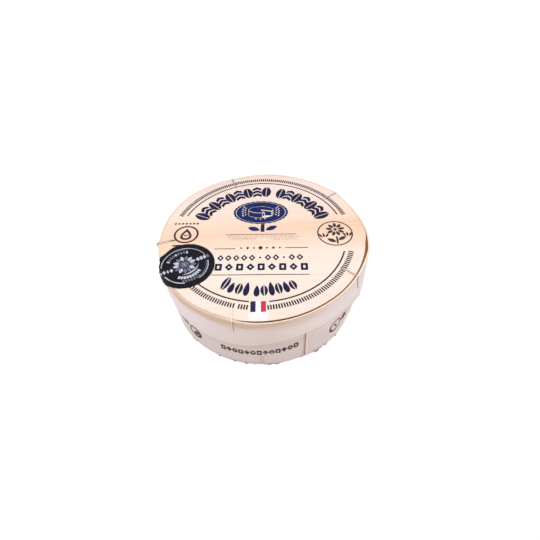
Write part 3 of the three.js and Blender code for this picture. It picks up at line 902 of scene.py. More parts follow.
# ------------------------------------------------------------------ staples
def build_staple(name, node, path, tone, size=1.0):
    """path is (r, z, degrees) points along the wire, which is a little wider than it is thick."""
    pts = np.array([(r * math.cos(math.radians(d)), r * math.sin(math.radians(d)), z) for r, z, d in path])
    # round the corners, then resample
    dense = [pts[0]]
    for i in range(1, len(pts) - 1):
        a, b, c = pts[i - 1], pts[i], pts[i + 1]
        la, lc = np.linalg.norm(a - b), np.linalg.norm(c - b)
        d = min(0.55, la * 0.45, lc * 0.45)
        p, q = b + (a - b) / la * d, b + (c - b) / lc * d
        for t in np.linspace(0, 1, 7):
            dense.append((1 - t) ** 2 * p + 2 * t * (1 - t) * b + t * t * q)
    dense.append(pts[-1])
    line = []
    for a, b in zip(dense[:-1], dense[1:]):
        n = max(1, int(np.linalg.norm(b - a) / 0.6))
        for k in range(n):
            line.append(a + (b - a) * k / n)
    line.append(dense[-1])
    line = np.array(line)
    tang = np.gradient(line, axis=0)
    tang /= np.linalg.norm(tang, axis=1)[:, None]
    mid = pts[len(pts) // 2]
    side = np.array([-mid[1], mid[0], 0.0])
    side /= np.linalg.norm(side)
    w, h = 0.30 * size, 0.19 * size  # half width, half thickness
    sec = []
    for k in range(16):
        t = 2 * math.pi * k / 16
        sec.append((w * np.sign(math.cos(t)) * abs(math.cos(t)) ** 0.6, h * np.sign(math.sin(t)) * abs(math.sin(t)) ** 0.7))
    verts = np.zeros((len(line), 16, 3))
    for i, (p, t) in enumerate(zip(line, tang)):
        up = np.cross(t, side)
        up /= np.linalg.norm(up)
        across = np.cross(up, t)
        taper = 1.0 if 2 <= i < len(line) - 2 else (0.55 if i in (0, len(line) - 1) else 0.85)
        for k, (x, y) in enumerate(sec):
            verts[i, k] = p + across * x * taper + up * y * taper
    faces = grid_faces(len(line), 16, close_cols=True, flip=False)
    faces.append(tuple(range(16))[::-1])
    faces.append(tuple((len(line) - 1) * 16 + k for k in range(16)))
    v = verts.reshape(-1, 3)
    # painted shade: the legs down the hoop's side are at least a little darker than on top
    tones = np.where((v[:, 2] > 20) & (v[:, 2] < HEIGHT - 0.3), max(tone, 0.20), tone)
    if tone > 0.9:  # this one is darker at both ends and lighter between them
        reach = np.hypot(v[:, 0], v[:, 1])
        tones = tones + 0.08 - 0.44 * smooth((reach - 49.5) / 2.5) * (1 - smooth((reach - 56.2) / 0.8))
    ob = make_mesh(name, v, faces, [mat_steel if tone > 0 else mat_bright], attrs={"tone": tones})
    fix_normals(ob)
    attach(ob, "root")
    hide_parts(node)


def fix_normals(ob):
    """Turns a closed mesh's faces outwards if its volume comes out negative."""
    me = ob.data
    vol = 0.0
    me.calc_loop_triangles()
    co = np.zeros(len(me.vertices) * 3)
    me.vertices.foreach_get("co", co)
    co = co.reshape(-1, 3)
    tri = np.zeros(len(me.loop_triangles) * 3, np.int32)
    me.loop_triangles.foreach_get("vertices", tri)
    tri = tri.reshape(-1, 3)
    a, b, c = co[tri[:, 0]], co[tri[:, 1]], co[tri[:, 2]]
    if np.einsum("ij,ij->i", a, np.cross(b, c)).sum() < 0:
        me.flip_normals()


for i, (a0, a1, a2, low, dull) in enumerate(LID_WIRES):
    off = float(lid_off(np.array([(a1 - LID_SEAM_AT) % 360.0]))[0])
    R = float(lid_round(a1)) + off
    path = [(46.85, DISC_TOP - 1.0, a0), (47.0, DISC_TOP + 0.06, a0)]
    for k in (0.3, 0.65, 0.92):
        r = 47.0 + (R - 47.0) * k
        d = a0 + (a1 - a0) * k
        path.append((r, float(disc_z(r * math.cos(math.radians(d)), r * math.sin(math.radians(d)))) + 0.19 + 0.12 * k * k, d))
    bow = 0.66 if i == 4 else 0.0  # the last one isn't driven home
    path.append((R + 0.8 * bow - (0.12 if i == 2 else 0.0), HEIGHT + 0.02 - 0.2 * bow - (0.14 if i == 2 else 0.0), a1))
    for k in (0.14, 0.3, 0.46, 0.65, 0.98):
        d = a1 + (a2 - a1) * k
        z = HEIGHT - (HEIGHT - low) * k
        path.append((float(lid_r(d, z)) + off + 0.14 + bow * (1 - smooth((k - 0.28) / 0.26)), z, d))
    path.append((float(lid_r(a2, low)) + off - 0.5, low - 0.1, a2))
    build_staple(f"wire_staple_lid_{i + 1}", f"lid_staple_{i + 1}", path, dull, (0.68, 1.0, 1.15, 1.0, 1.35)[i])
for i, (a0, a1, a2, high, dull) in enumerate(BASE_WIRES):
    off = float(base_off(np.array([(a1 - SEAM_AT) % 360.0]))[0])
    R = float(base_r(a1, 0.5)) + off
    path = [(45.6, 1.7, a0), (45.75, 0.60, a0), (50.0, 0.50, a0 + (a1 - a0) * 0.45), (R - 0.8, 0.34, a1), (R + 0.08, 0.30, a1)]
    for k in (0.3, 0.65, 0.98):
        d = a1 + (a2 - a1) * k
        path.append((float(base_r(d, high * k)) + off + 0.12, high * k, d))
    path.append((float(base_r(a2, high)) + off - 0.5, high + 0.1, a2))
    build_staple(f"wire_staple_base_{i + 1}", f"base_staple_{i + 1}", path, dull, 0.8 if i == 0 else 1.0)


# ------------------------------------------------------------------ flat shapes for print
class Ink:
    """Flat closed shapes in mm, later laid on a surface as a thin film."""

    def __init__(self):
        self.polys = []  # (outline, holes)

    def add(self, outline, holes=()):
        self.polys.append(([tuple(p) for p in outline], [[tuple(p) for p in h] for h in holes]))
        return self

    def mesh(self, cell):
        verts, faces = [], []
        for outline, holes in self.polys:
            loops = [outline] + list(holes)
            flat = [p for l in loops for p in l]
            tris = tessellate_polygon([[Vector((x, y, 0)) for x, y in l] for l in loops])
            base = len(verts)
            verts += flat
            for t in tris:
                a, b, c = (flat[k] for k in t)
                area = (b[0] - a[0]) * (c[1] - a[1]) - (b[1] - a[1]) * (c[0] - a[0])
                if abs(area) < 1e-9:
                    continue
                t = t if area > 0 else t[::-1]
                faces.append(tuple(base + k for k in t))
        import bmesh

        bm = bmesh.new()
        bv = [bm.verts.new((x, y, 0)) for x, y in verts]
        for f in faces:
            try:
                bm.faces.new([bv[k] for k in f])
            except ValueError:
                pass
        if cell:
            xs = [v.co.x for v in bm.verts]
            ys = [v.co.y for v in bm.verts]
            for axis, lo, hi in ((0, min(xs), max(xs)), (1, min(ys), max(ys))):
                k = math.ceil(lo / cell)
                while k * cell < hi:
                    co = [0, 0, 0]
                    no = [0, 0, 0]
                    co[axis], no[axis] = k * cell + 1e-5, 1
                    bmesh.ops.bisect_plane(bm, geom=bm.verts[:] + bm.edges[:] + bm.faces[:], dist=1e-6, plane_co=co, plane_no=no)
                    k += 1
        bmesh.ops.triangulate(bm, faces=[f for f in bm.faces if len(f.verts) > 4])
        bm.verts.index_update()
        v = np.array([tuple(x.co)[:2] for x in bm.verts])
        f = [tuple(x.index for x in face.verts) for face in bm.faces]
        bm.free()
        return v, f

    def build(self, name, material, to3d, slot, thick=0.03, sink=0.10, cell=2.5):
        v, f = self.mesh(cell)
        n = len(v)
        top, low = to3d(v[:, 0], v[:, 1], thick), to3d(v[:, 0], v[:, 1], -sink)
        faces = list(f) + [tuple(n + k for k in q[::-1]) for q in f]
        count = {}
        for q in f:
            for a, b in zip(q, q[1:] + q[:1]):
                count[(a, b)] = True
        for a, b in list(count):
            if (b, a) not in count:
                faces.append((b, a, n + a, n + b))
        ob = make_mesh(name, np.concatenate([top, low]), faces, [material], smooth_faces=False)
        fix_normals(ob)
        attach(ob, "root")
        return ob


def rot(pts, deg, cx=0.0, cy=0.0):
    c, s = math.cos(math.radians(deg)), math.sin(math.radians(deg))
    return [(cx + x * c - y * s, cy + x * s + y * c) for x, y in pts]


def box2(w, h, r=0.0, n=3):
    """A rectangle w by h round the origin, with rounded corners."""
    if r <= 0:
        return [(-w / 2, -h / 2), (w / 2, -h / 2), (w / 2, h / 2), (-w / 2, h / 2)]
    out = []
    for cx, cy, a in ((w / 2 - r, -h / 2 + r, -90), (w / 2 - r, h / 2 - r, 0), (-w / 2 + r, h / 2 - r, 90), (-w / 2 + r, -h / 2 + r, 180)):
        for k in range(n + 1):
            t = math.radians(a + 90 * k / n)
            out.append((cx + r * math.cos(t), cy + r * math.sin(t)))
    return out


def leaf(length, width, n=9, full=0.85):
    """A pointed oval along +Y, its foot at the origin."""
    right = [(width / 2 * math.sin(math.pi * k / n) ** full, length * k / n) for k in range(n + 1)]
    left = [(-x, y) for x, y in right[-2:0:-1]]
    return right + left


def half_leaf(length, width, side, gap, n=9, full=0.85):
    """One half of a leaf beside its midrib."""
    out = [(side * gap / 2, length * 0.03), ]
    for k in range(1, n):
        out.append((side * max(gap / 2 + 0.02, width / 2 * math.sin(math.pi * k / n) ** full), length * k / n))
    out.append((side * gap / 2, length * 0.97))
    return out if side > 0 else out[::-1]


def circle(r, n=32, cx=0.0, cy=0.0):
    return [(cx + r * math.cos(2 * math.pi * k / n), cy + r * math.sin(2 * math.pi * k / n)) for k in range(n)]


def arc_band(r0, r1, a0, a1, step=1.2, cx=0.0, cy=0.0):
    n = max(2, int(abs(a1 - a0) / step) + 1)
    t = np.radians(np.linspace(a0, a1, n))
    outer = [(cx + r1 * math.cos(x), cy + r1 * math.sin(x)) for x in t]
    inner = [(cx + r0 * math.cos(x), cy + r0 * math.sin(x)) for x in t[::-1]]
    return outer + inner


def strip2(p, q, w):
    (x0, y0), (x1, y1) = p, q
    l = math.hypot(x1 - x0, y1 - y0)
    nx, ny = -(y1 - y0) / l * w / 2, (x1 - x0) / l * w / 2
    return [(x0 - nx, y0 - ny), (x1 - nx, y1 - ny), (x1 + nx, y1 + ny), (x0 + nx, y0 + ny)]


def on_lid(x, y, off):
    return np.stack([x, y, disc_z(x, y) + off], 1)


PX, PY = -0.65, 1.05     # centre of the print's upper arcs
LX, LY = -0.3, 1.1       # and of the lower ones
TILT = -4.2              # how far the print is turned


def polar(r, a):
    return PX + r * math.cos(math.radians(a)), PY + r * math.sin(math.radians(a))


# --- fine lines: the thin arcs, the ring of short strokes, the rules
fine = Ink()
fine.add(arc_band(46.07, 46.83, 155, 16, 1.2, PX, PY))
for a0, a1 in ((-21, -88), (-100, -143)):
    fine.add(arc_band(45.85, 46.65, a0, a1, 1.2, LX, LY))
a = 14.9
while a < 157:
    fine.add(rot(box2(2.5, 0.78), a, *polar(49.85, a)))
    a += 1.44
for a0, a1 in ((-88.9, -20), (-143, -100)):
    a = a0
    while a < a1:
        if not -107.3 < a < -105.78:
            fine.add(rot(box2(2.75, 0.76), a, LX + 49.7 * math.cos(math.radians(a)), LY + 49.7 * math.sin(math.radians(a))))
        a += 1.52
fine.add(strip2((-26.2, -7.7), (-14.8, -8.5), 0.48))
fine.add(strip2((11.8, -10.2), (24.1, -11.1), 0.48))
fine.add(strip2((-27.2, -26.0), (22.6, -29.8), 0.48))
fine.add(strip2((-20.0, 2.7), (19.0, -0.1), 0.40))
fine.add(strip2((-49.21, -3.28), (-36.35, -3.55), 1.0))
g_rand = np.random.default_rng(7)
for row, (dy, x0, x1, w) in enumerate(((-1.25, -18.6, 17.8, 0.15), (-2.2, -19.2, 18.4, 0.14), (-3.15, -17.0, 16.4, 0.15), (-4.1, -18.4, 17.2, 0.13))):
    x = x0
    while x < x1:
        l = g_rand.uniform(0.7, 2.4)
        y = 2.7 - 2.8 * (x + 20) / 39 + dy
        if not (row >= 2 and -3.4 < x < 3.6):
            fine.add(strip2((x, y), (x + l, y - 0.072 * l), w))
        x += l + g_rand.uniform(0.45, 0.9)
fine.add(circle(9.75, 72, 40.2, -1.5), [circle(9.08, 72, 40.2, -1.5)])
fine.build("print_fine_lines", mat_line, on_lid, "lid_face_wood")

# --- dark navy: the band of leaves over the top, the rows of marks
dark = Ink()
def leaf_cell(r0, r1, a, width, gap=0.5):
    x, y = polar(r0, a)
    for side in (1, -1):
        dark.add(rot(half_leaf(r1 - r0, width, side, gap, full=0.62), a - 90, x, y))


def chevron_cell(r0, r1, a, width):
    """Three chevrons, one above the other, pointing outwards."""
    x, y = polar(r0, a)
    h, rise, t = r1 - r0, 1.5, 2.2
    for k in range(3):
        y0 = k * (h - rise - t) / 2
        dark.add(rot([(-width / 2, y0), (0, y0 + rise), (width / 2, y0), (width / 2, y0 + t), (0, y0 + rise + t), (-width / 2, y0 + t)], a - 90, x, y))


for k in range(9):
    if k % 2:
        chevron_cell(32.9, 42.8, 151.0 - k * 8.6, 5.3)
    else:
        leaf_cell(32.6, 43.0, 151.0 - k * 8.6, 5.8, 0.38)
for k in range(7):
    if k % 2:
        chevron_cell(32.9, 42.8, 68.6 - k * 8.1, 5.1)
    else:
        leaf_cell(32.6, 43.0, 68.6 - k * 8.1, 5.6, 0.38)


# lower arc, points towards the middle: leaves and drops by turns
def lower_cell(a, h, solid):
    x, y = polar(43.0, a)
    if solid:
        pts = []
        for k in range(20):
            t = 2 * math.pi * k / 20
            pts.append((1.85 * math.sin(t) * math.sin(t / 2) ** 0.8, h / 2 * (1 + math.cos(t))))
        dark.add(rot(pts, a + 90, x, y))
    else:
        for side in (1, -1):
            dark.add(rot(half_leaf(h, 3.7, side, 0.45, full=0.7), a + 90, x, y))


for k, h in enumerate((9.6, 7.0, 7.6, 8.8)):
    lower_cell(-119.6 + k * 5.6, h, k % 2 == 1)
for k, h in enumerate((7.0, 7.2, 8.8, 7.6, 7.2, 6.8)):
    lower_cell(-95.4 + k * 5.3, h, k % 2 == 0)


def along(p, q, k):
    return p[0] + (q[0] - p[0]) * k, p[1] + (q[1] - p[1]) * k


# small row between the rules: a lozenge with dots
for k, (w, h) in enumerate(((1.1, 1.1), (1.6, 2.2), (1.1, 1.1), (2.6, 3.2), (1.1, 1.1), (1.6, 2.2), (1.1, 1.1))):
    x, y = -11.6 + k * 3.45, -8.3 - 0.25 * k
    if w < 1.5:
        dark.add(circle(0.55, 12, x, y))
    else:
        dark.add(rot([(0, -h / 2), (w / 2, 0), (0, h / 2), (-w / 2, 0)], TILT, x, y))
# row of open lozenges
for k in range(11):
    if k in (5, 8):
        x, y = along((-22.6, -14.7), (19.0, -17.6), k / 10)
        dark.add(circle(0.6, 12, x, y))
        continue
    x, y = along((-22.6, -14.7), (19.0, -17.6), k / 10)
    o = [(0, -2.2), (1.8, 0), (0, 2.2), (-1.8, 0)]
    i = [(0, -0.95), (0.75, 0), (0, 0.95), (-0.75, 0)]
    dark.add(rot(o, TILT, x, y), [rot(i, TILT, x, y)])
# row of bold marks: square, lozenge, square
for k in range(9):
    x, y = along((-23.6, -21.0), (20.6, -24.4), k / 8)
    if k % 2 == 0:
        dark.add(rot(box2(3.7, 4.7, 0.5), TILT, x, y), [rot(box2(1.2, 2.0, 0.3), TILT, x, y)])
    else:
        dark.add(rot([(0, -2.5), (2.2, 0), (0, 2.5), (-2.2, 0)], TILT, x, y), [circle(0.6, 10, x, y)])
dark.build("print_dark_marks", mat_dark, on_lid, "lid_face_wood")

# --- brown-black: left roundel, a ring with a milk drop
sepia = Ink()
lx, ly = -42.2, 5.1


def drop(w, h, up=0.0):
    out = []
    for k in range(30):
        t = 2 * math.pi * k / 30
        out.append((w * math.sin(t) * math.sin(t / 2) ** 1.4, h * math.cos(t) + up))
    return out


sepia.add(circle(6.95, 48, lx, ly), [circle(5.85, 48, lx, ly)])
sepia.add(rot(drop(4.5, 4.6, 0.2), TILT, lx, ly), [rot(drop(2.6, 2.7, -0.3), TILT, lx, ly)])
sepia.add(rot([(-1.35, -1.0), (-0.5, -1.5), (0.5, -0.9), (1.35, -1.35), (1.2, -0.6), (0.5, -0.15), (-0.5, -0.75), (-1.2, -0.3)], TILT, lx, ly))
for k in range(7):
    shape = box2(1.3, 1.15, 0.2) if k % 3 else [(0, -0.95), (0.8, 0), (0, 0.95), (-0.8, 0)]
    sepia.add(rot(shape, TILT, -48.9 + k * 2.1, 14.4 - 0.14 * k))
# right roundel: a daisy on a stem between two leaves, and two tufts of grass
rx, ry = 40.2, -1.5
for k in range(9):
    a = 40 * k + 8
    fx, fy = rx + 0.6 + 1.5 * math.cos(math.radians(a)), ry + 2.9 + 1.5 * math.sin(math.radians(a))
    sepia.add(rot(leaf(3.9, 1.9), a - 90, fx, fy))
sepia.add(circle(1.0, 16, rx + 0.6, ry + 2.9))
sepia.add(strip2((rx + 0.5, ry - 2.7), (rx + 0.3, ry - 8.2), 1.0))
sepia.add(rot(leaf(5.4, 2.5), 58, rx - 0.3, ry - 6.9))
sepia.add(rot(leaf(5.2, 2.3), -60, rx + 1.0, ry - 5.6))
for gx, gy, sc in ((-6.4, -3.0, 1.0), (6.6, -3.0, 0.9)):
    for lean in (-30, 0, 28):
        sepia.add(rot(leaf(3.8 * sc, 1.2), lean, rx + gx + 0.03 * lean * -1, ry + gy))
sepia.build("print_roundel_marks", mat_sepia, on_lid, "lid_face_wood")

# --- navy: the big oval badge with a cut cheese and two sprigs left clear of ink
navy = Ink()
bx, by = 0.2, 19.9


def badge(pts):
    return rot(pts, TILT, bx, by)


def oval(scale, scallop=0.0, n=168):
    out = []
    for k in range(n):
        t = 2 * math.pi * k / n
        sc = scale * (1 + scallop * abs(math.sin(14 * t)))
        out.append((15.6 * sc * math.cos(t), 9.8 * sc * math.sin(t)))
    return out


holes = []
ea, eb, ec, tall, g = 7.3, 2.9, 2.3, 4.3, 0.25


def rim_at(d, dy=0.0, inset=0.0):
    return ((ea - inset) * math.cos(math.radians(d)), ec + (eb - inset * 0.8) * math.sin(math.radians(d)) + dy)


# the wheel's outline is clear of ink, and its faces are inked again inside it
holes.append([rim_at(d) for d in range(0, 181, 9)] + [rim_at(d, -tall) for d in range(180, 361, 9)])
for sgn in (-1, 1):
    for k in range(5):
        x, y = sgn * (9.5 + 0.42 * k - 0.13 * k * k), -3.6 + 1.9 * k
        holes.append(rot(leaf(1.8, 0.66), -sgn * 36, x + sgn * 0.3, y))
        if k < 4:
            holes.append(rot(leaf(1.6, 0.62), sgn * 30, x - sgn * 0.3, y + 0.85))
for x in (-2.6, 0, 2.6):
    holes.append(rot(box2(0.85, 0.85), 45, x, -5.9 + 0.12 * abs(x)))
navy.add(badge(oval(1.0, 0.03)), [badge(oval(0.936))])
navy.add(badge(oval(0.914)), [badge(h) for h in holes])
navy.add(badge([rim_at(d, 0, g) for d in range(-22, 284, 9)] + [rim_at(283, 0, g), (-0.1, ec + 0.12)]))
lower = [rim_at(d, -g, 0.0) for d in range(186, 284, 7)]
navy.add(badge([(max(x, -ea + g), y) for x, y in lower] + [(max(x, -ea + g), y - tall + 2 * g) for x, y in lower[::-1]]))
right = [rim_at(d, -g, 0.0) for d in (-22, -16, -10, -5)]
navy.add(badge([(min(x, ea - g), y) for x, y in right] + [(min(x, ea - g), y - tall + 2 * g) for x, y in right[::-1]]))
navy.add(badge([(0.55, ec - 0.75), (rim_at(-25)[0] - 0.35, rim_at(-25)[1] - 0.55), (rim_at(-25)[0] - 0.35, rim_at(-25)[1] - tall + 0.35), (2.45, -2.75), (2.45, -0.55)]))
navy.add(badge([(1.04, -1.23), (1.22, -3.67), (2.25, -2.75), (1.95, -0.81)]))
# under it a short stem with two leaves
navy.add(rot([(-1.0, 0), (1.2, 0), (1.1, 6.4), (-0.9, 6.4)], TILT, 0.3, 3.3))
for sgn in (-1, 1):
    for side in (-1, 1):
        navy.add(rot(half_leaf(7.4, 3.4, side, 0.0001, full=0.85), -sgn * 68, 0.6 + sgn * 1.5, 4.6 - sgn * 0.1))
navy.build("print_navy_badge", mat_navy, on_lid, "lid_face_wood")

# --- the small tricolour mark
for nm, mt, x in (("blue", mat_blue, -6.47), ("white", mat_white, -4.0), ("red", mat_red, -1.53)):
    Ink().add(rot(box2(2.46, 6.2), TILT + 1.5, x, -47.7 - (x + 4) * 0.06)).build(f"print_flag_{nm}", mt, on_lid, "lid_face_wood")


# --- the brown marks on the lower hoop
def on_base(u, v, off):
    """u is degrees round the hoop times one, v is mm above the floor."""
    deg = np.asarray(u, float)
    s = (deg - SEAM_AT) % 360.0
    r = base_r(deg, np.asarray(v, float)) + base_off(s) + off
    return np.stack([r * np.cos(np.radians(deg)), r * np.sin(np.radians(deg)), v], 1)


DEG = 360.0 / (2 * math.pi * 55.6)  # degrees per mm on the hoop


def hoop_marks(ink, pts_list, deg0, z0, tilt=0.0):
    for outline, holes in pts_list:
        f = lambda pts: [(deg0 + x * DEG, z0 + y) for x, y in rot(pts, tilt)]
        ink.add(f(outline), [f(h) for h in holes])


brown = Ink()
for k in range(13):
    deg = -115.3 + k * 3.3
    z = 11.9 + 0.0024 * max(0.0, deg + 107) ** 2 + 0.1 * (k % 3 == 1)
    if k % 3 == 0:
        shapes = [(box2(2.7, 4.3, 0.4), [box2(0.8, 1.7, 0.2)])]
    elif k % 3 == 1:
        shapes = [([(0, -2.35), (1.65, 0), (0, 2.35), (-1.65, 0)], [])]
    else:
        shapes = [([(0.0 + 1.5 * math.cos(t), 2.05 * math.sin(t)) for t in np.linspace(0, 2 * math.pi, 19)[:-1]], [circle(0.55, 10)])]
    hoop_marks(brown, shapes, deg, z)
# a ring with a leaf and some blades of grass at the left, and another at the right
hoop_marks(brown, [(circle(4.6, 36), [circle(3.2, 36, -0.45, 0.25)]), (rot(leaf(5.8, 3.0), -46, -1.4, -2.4), [])], -134.5, 11.4)
for k, l in enumerate((6.4, 5.6, 4.8)):
    hoop_marks(brown, [(rot(leaf(l, 1.7), -10 + 8 * k, 0, 0), [])], -145.8 + k * 2.5, 11.9 + 0.5 * (k == 0))
hoop_marks(brown, [(circle(4.9, 36), [circle(3.7, 36, 0.25, 0.2)]), (rot(leaf(3.9, 1.7), 30, 1.1, -1.6), [])], -49.3, 11.9)
for k in range(3):
    hoop_marks(brown, [(rot(leaf(5.6, 2.3), -24 - 24 * k, 0, 0), [])], -43.4, 10.6)
brown.build("print_brown_marks", mat_brown, on_base, "base_side_wood", cell=1.0)

# ------------------------------------------------------------------ the round label
away = math.hypot(LABEL_X, LABEL_Y)
label_at = math.degrees(math.atan2(LABEL_Y, LABEL_X))
BEND = 1.45
rim_at_label = float(lid_round(label_at))
bend_from = rim_at_label - 0.25
ripple = field(91, 7, 18, 16)
pleat = wave(92, 2.4, 7.0)


def label_xyz(px, py, off):
    """Maps the flat label, in lid coordinates, onto the lid and down over its rim."""
    px, py = np.asarray(px, float), np.asarray(py, float)
    s = np.hypot(px, py)
    ux, uy = px / s, py / s
    deg = np.degrees(np.arctan2(py, px))
    # it lies tight at its upper end and stands off the rim at its lower end
    loose = smooth((wrap(deg) + 166.5) / 9.0)
    bend = 0.55 + (BEND - 0.55) * loose
    start = lid_round(deg) - 0.75 + 0.25 * loose
    on_disc = disc_z(px, py) + 0.07
    on_rim = HEIGHT + 0.17
    z_top = on_disc + (on_rim - on_disc) * smooth((s - 53.4) / 2.4)
    z_top = z_top + 0.05 * ripple(px, py) * smooth((s - 44) / 8) + 0.02 * ripple(py, px)
    over = np.clip(s - start, 0, None)
    hang = math.radians(80)
    a = np.minimum(over / bend, hang)
    rest = np.clip(over - a * bend, 0, None)
    crease = 0.20 * pleat((deg - label_at)) * smooth(over / 2.0)
    r = np.where(over > 0, start + (bend + off) * np.sin(a) + rest * math.cos(hang) + crease * np.sin(a), s)
    z = np.where(over > 0, on_rim - bend + (bend + off) * np.cos(a) - rest * math.sin(hang), z_top + off)
    return np.stack([ux * r, uy * r, z], 1)


def build_label():
    rings, seg, half = 44, 168, 0.07
    ang = np.arange(seg) * 2 * np.pi / seg
    rough = round_wave(95, 20, 80)
    edge = LABEL_R + 0.025 * rough(np.degrees(ang)) - 0.6 * bell_deg(np.degrees(ang), 155, 18) - 0.5 * bell_deg(np.degrees(ang), 137, 10)
    rows = []
    for side in (1, -1):
        ks = np.linspace(0.02, 1.0, rings)
        ks = ks if side > 0 else ks[::-1]
        for k in ks:
            rr = edge * k
            x, y = LABEL_X + rr * np.cos(ang), LABEL_Y + rr * np.sin(ang)
            rows.append(label_xyz(x, y, side * half * (1.0 if k < 0.999 else 0.75)))
    v = np.concatenate(rows)
    n = len(rows)
    t, b = len(v), len(v) + 1
    mid = [label_xyz(np.array([LABEL_X]), np.array([LABEL_Y]), o)[0] for o in (half, -half)]
    v = np.concatenate([v, mid])
    faces = grid_faces(n, seg, close_cols=True)
    for j in range(seg):
        faces.append((t, j, (j + 1) % seg))
        k = (n - 1) * seg
        faces.append((b, k + (j + 1) % seg, k + j))
    s = np.hypot(v[:, 0], v[:, 1])
    crease = np.clip(bell(s, bend_from + 0.7, 0.5), 0, 1) * 0.5
    ob = make_mesh("round_black_label", v, faces, [mat_label], attrs={"crease": crease})
    fix_normals(ob)
    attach(ob, "root")
    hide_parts("round_label")


build_label()

silver, dim = Ink(), Ink()
sx, sy = LABEL_X, LABEL_Y
LA = 23.0  # how far the label's own print is turned


def on_label(ink, pts, x, y, turn=0.0, holes=()):
    cx, cy = rot([(x, y)], LA, sx, sy)[0]
    ink.add(rot(pts, LA + turn, cx, cy), [rot(h, LA + turn, cx, cy) for h in holes])


# a broken ring, doubled at the lower right
for a0, a1, w in ((10, 60, 0.16), (60, 165, 0.22), (196, 252, 0.30), (288, 350, 0.24)):
    silver.add(arc_band(12.1 - w, 12.1 + w, a0 + LA, a1 + LA, 4, sx, sy))
dim.add(arc_band(10.95, 11.3, 290 + LA, 350 + LA, 4, sx, sy))
dim.add(arc_band(11.0, 11.3, 66 + LA, 96 + LA, 4, sx, sy))
# a row of lozenges and bars right across, left clear in the middle
for k, x in enumerate((-13.0, -11.2, -9.3, -7.4)):
    shape = [(0, -1.35), (1.0, 0), (0, 1.35), (-1.0, 0)] if k % 2 else box2(0.9, 1.9, 0.3)
    on_label(silver, shape, x, -0.4)
for k, x in enumerate((7.5, 9.3, 11.1, 12.9)):
    shape = box2(1.2, 2.5, 0.3) if k % 2 else [(0, -1.5), (1.05, 0), (0, 1.5), (-1.05, 0)]
    on_label(silver if k < 3 else dim, shape, x, 0.9)
# a sunflower: broad petals round a seeded heart, some of them rubbed dull
for k in range(13):
    a = 360 * k / 13 + 6
    ink = dim if k in (2, 4, 7, 9, 10, 12) else silver
    on_label(ink, leaf(3.5, 1.9), 2.7 * math.cos(math.radians(a)), 2.7 * math.sin(math.radians(a)) + 0.5, a - 90)
on_label(dim, circle(2.3, 28), 0, 0.5, 0, [circle(1.75, 24)])
for k in range(6):
    on_label(silver, circle(0.34, 8), 1.05 * math.cos(k * 1.047), 1.05 * math.sin(k * 1.047) + 0.5)
on_label(silver, circle(0.4, 8), 0, 0.5)
# small strokes over and under it along the ring
for k in range(9):
    a = math.radians(140 - k * 9.4)
    shape = [(0, -1.0), (0.75, 0), (0, 1.0), (-0.75, 0)] if k % 3 == 1 else box2(0.95, 1.7, 0.25)
    on_label(silver if k % 4 == 0 else dim, shape, 9.3 * math.cos(a), 9.3 * math.sin(a), math.degrees(a) - 90)
for k in range(9):
    a = math.radians(232 + k * 9.6)
    shape = [(0, -1.2), (0.85, 0), (0, 1.2), (-0.85, 0)] if k % 2 else box2(1.15, 1.9, 0.25)
    on_label(silver, shape, 8.6 * math.cos(a), 8.6 * math.sin(a), math.degrees(a) + 90)
for k in range(7):
    a = math.radians(248 + k * 7.4)
    on_label(dim, box2(0.9, 1.5, 0.2), 10.9 * math.cos(a), 10.9 * math.sin(a), math.degrees(a) + 90)
# a bright crescent cupping the flower at the lower right
cres = [(7.2 * math.cos(math.radians(a)), 7.2 * math.sin(math.radians(a))) for a in range(240, 343, 6)]
cres += [(7.2 * math.cos(math.radians(a)), 7.2 * math.sin(math.radians(a)) + 1.0 * math.sin(math.radians((a - 240) / 102 * 180))) for a in range(336, 240, -6)]
on_label(silver, cres, 0.1, 0.6)
lay = lambda x, y, o: label_xyz(x, y, 0.07 + o)
silver.build("label_silver_print", mat_silver, lay, "black_label", thick=0.02, sink=0.05, cell=1.2)
dim.build("label_grey_print", mat_silver_dim, lay, "black_label", thick=0.02, sink=0.05, cell=1.2)

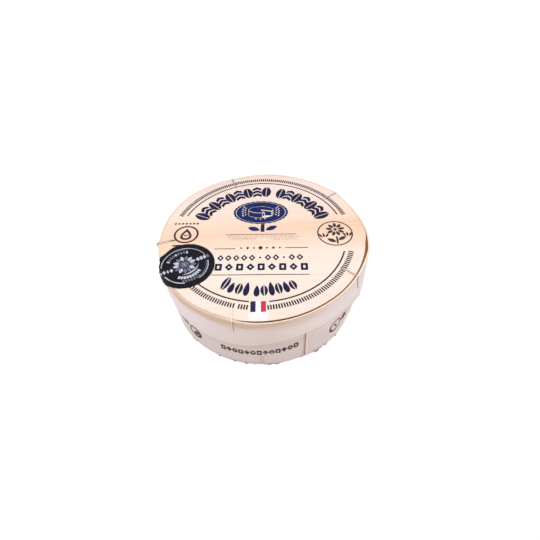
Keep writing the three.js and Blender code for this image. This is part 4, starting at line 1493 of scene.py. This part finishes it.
# ------------------------------------------------------------------ floor, light, camera
floor = make_mesh("floor", [(-4000, -4000, 0), (4000, -4000, 0), (4000, 4000, 0), (-4000, 4000, 0)], [(0, 1, 2, 3)], [])
fm = bpy.data.materials.new("floor_white")
fm.use_nodes = True
nt = fm.node_tree
nt.nodes.clear()
o = nt.nodes.new("ShaderNodeOutputMaterial")
d = nt.nodes.new("ShaderNodeBsdfDiffuse")
d.inputs["Color"].default_value = (0.10, 0.10, 0.10, 1)
e = nt.nodes.new("ShaderNodeEmission")
e.inputs["Color"].default_value = (1, 1, 1, 1)
e.inputs["Strength"].default_value = 0.93
ad = nt.nodes.new("ShaderNodeAddShader")
nt.links.new(d.outputs[0], ad.inputs[0])
nt.links.new(e.outputs[0], ad.inputs[1])
nt.links.new(ad.outputs[0], o.inputs["Surface"])
floor.data.materials.append(fm)
floor.location.z = -0.0002

world = bpy.data.worlds.new("studio")
scene.world = world
world.use_nodes = True
world.node_tree.nodes["Background"].inputs["Color"].default_value = (1.0, 1.0, 1.0, 1)
world.node_tree.nodes["Background"].inputs["Strength"].default_value = 0.80


def area(name, loc, target, size, watts, color=(1, 1, 1)):
    l = bpy.data.lights.new(name, "AREA")
    l.shape = "DISK"
    l.size = size
    l.energy = watts
    l.color = color
    ob = bpy.data.objects.new(name, l)
    ob.location = loc
    ob.rotation_euler = (Vector(target) - Vector(loc)).to_track_quat("-Z", "Y").to_euler()
    scene.collection.objects.link(ob)
    return ob


area("key_softbox", (-0.15, 0.05, 1.0), (0, 0, 0.03), 0.7, 5.0)
area("left_softbox", (-0.85, -0.30, 0.35), (0, 0, 0.02), 0.5, 1.2)
area("right_softbox", (0.85, -0.30, 0.35), (0, 0, 0.02), 0.5, 1.2)

cam_data = bpy.data.cameras.new("camera")
cam = bpy.data.objects.new("camera", cam_data)
scene.collection.objects.link(cam)
scene.camera = cam
right = Vector((0.997682, -0.059593, -0.032861)).normalized()
fwd = Vector((0.014676, 0.659933, -0.751182)).normalized()
up = right.cross(fwd).normalized()
m = Matrix.Identity(4)
for i in range(3):
    m[i][0], m[i][1], m[i][2] = right[i], up[i], -fwd[i]
m.translation = Vector((0.0, -155.882, 189.896)) * MM
cam.matrix_world = m
cam_data.sensor_width = 36.0
cam_data.sensor_fit = "HORIZONTAL"
cam_data.lens = 388.475 / 540.0 * 36.0
cam_data.clip_start, cam_data.clip_end = 0.01, 20.0

scene.view_settings.view_transform = "Standard"
scene.view_settings.look = "None"
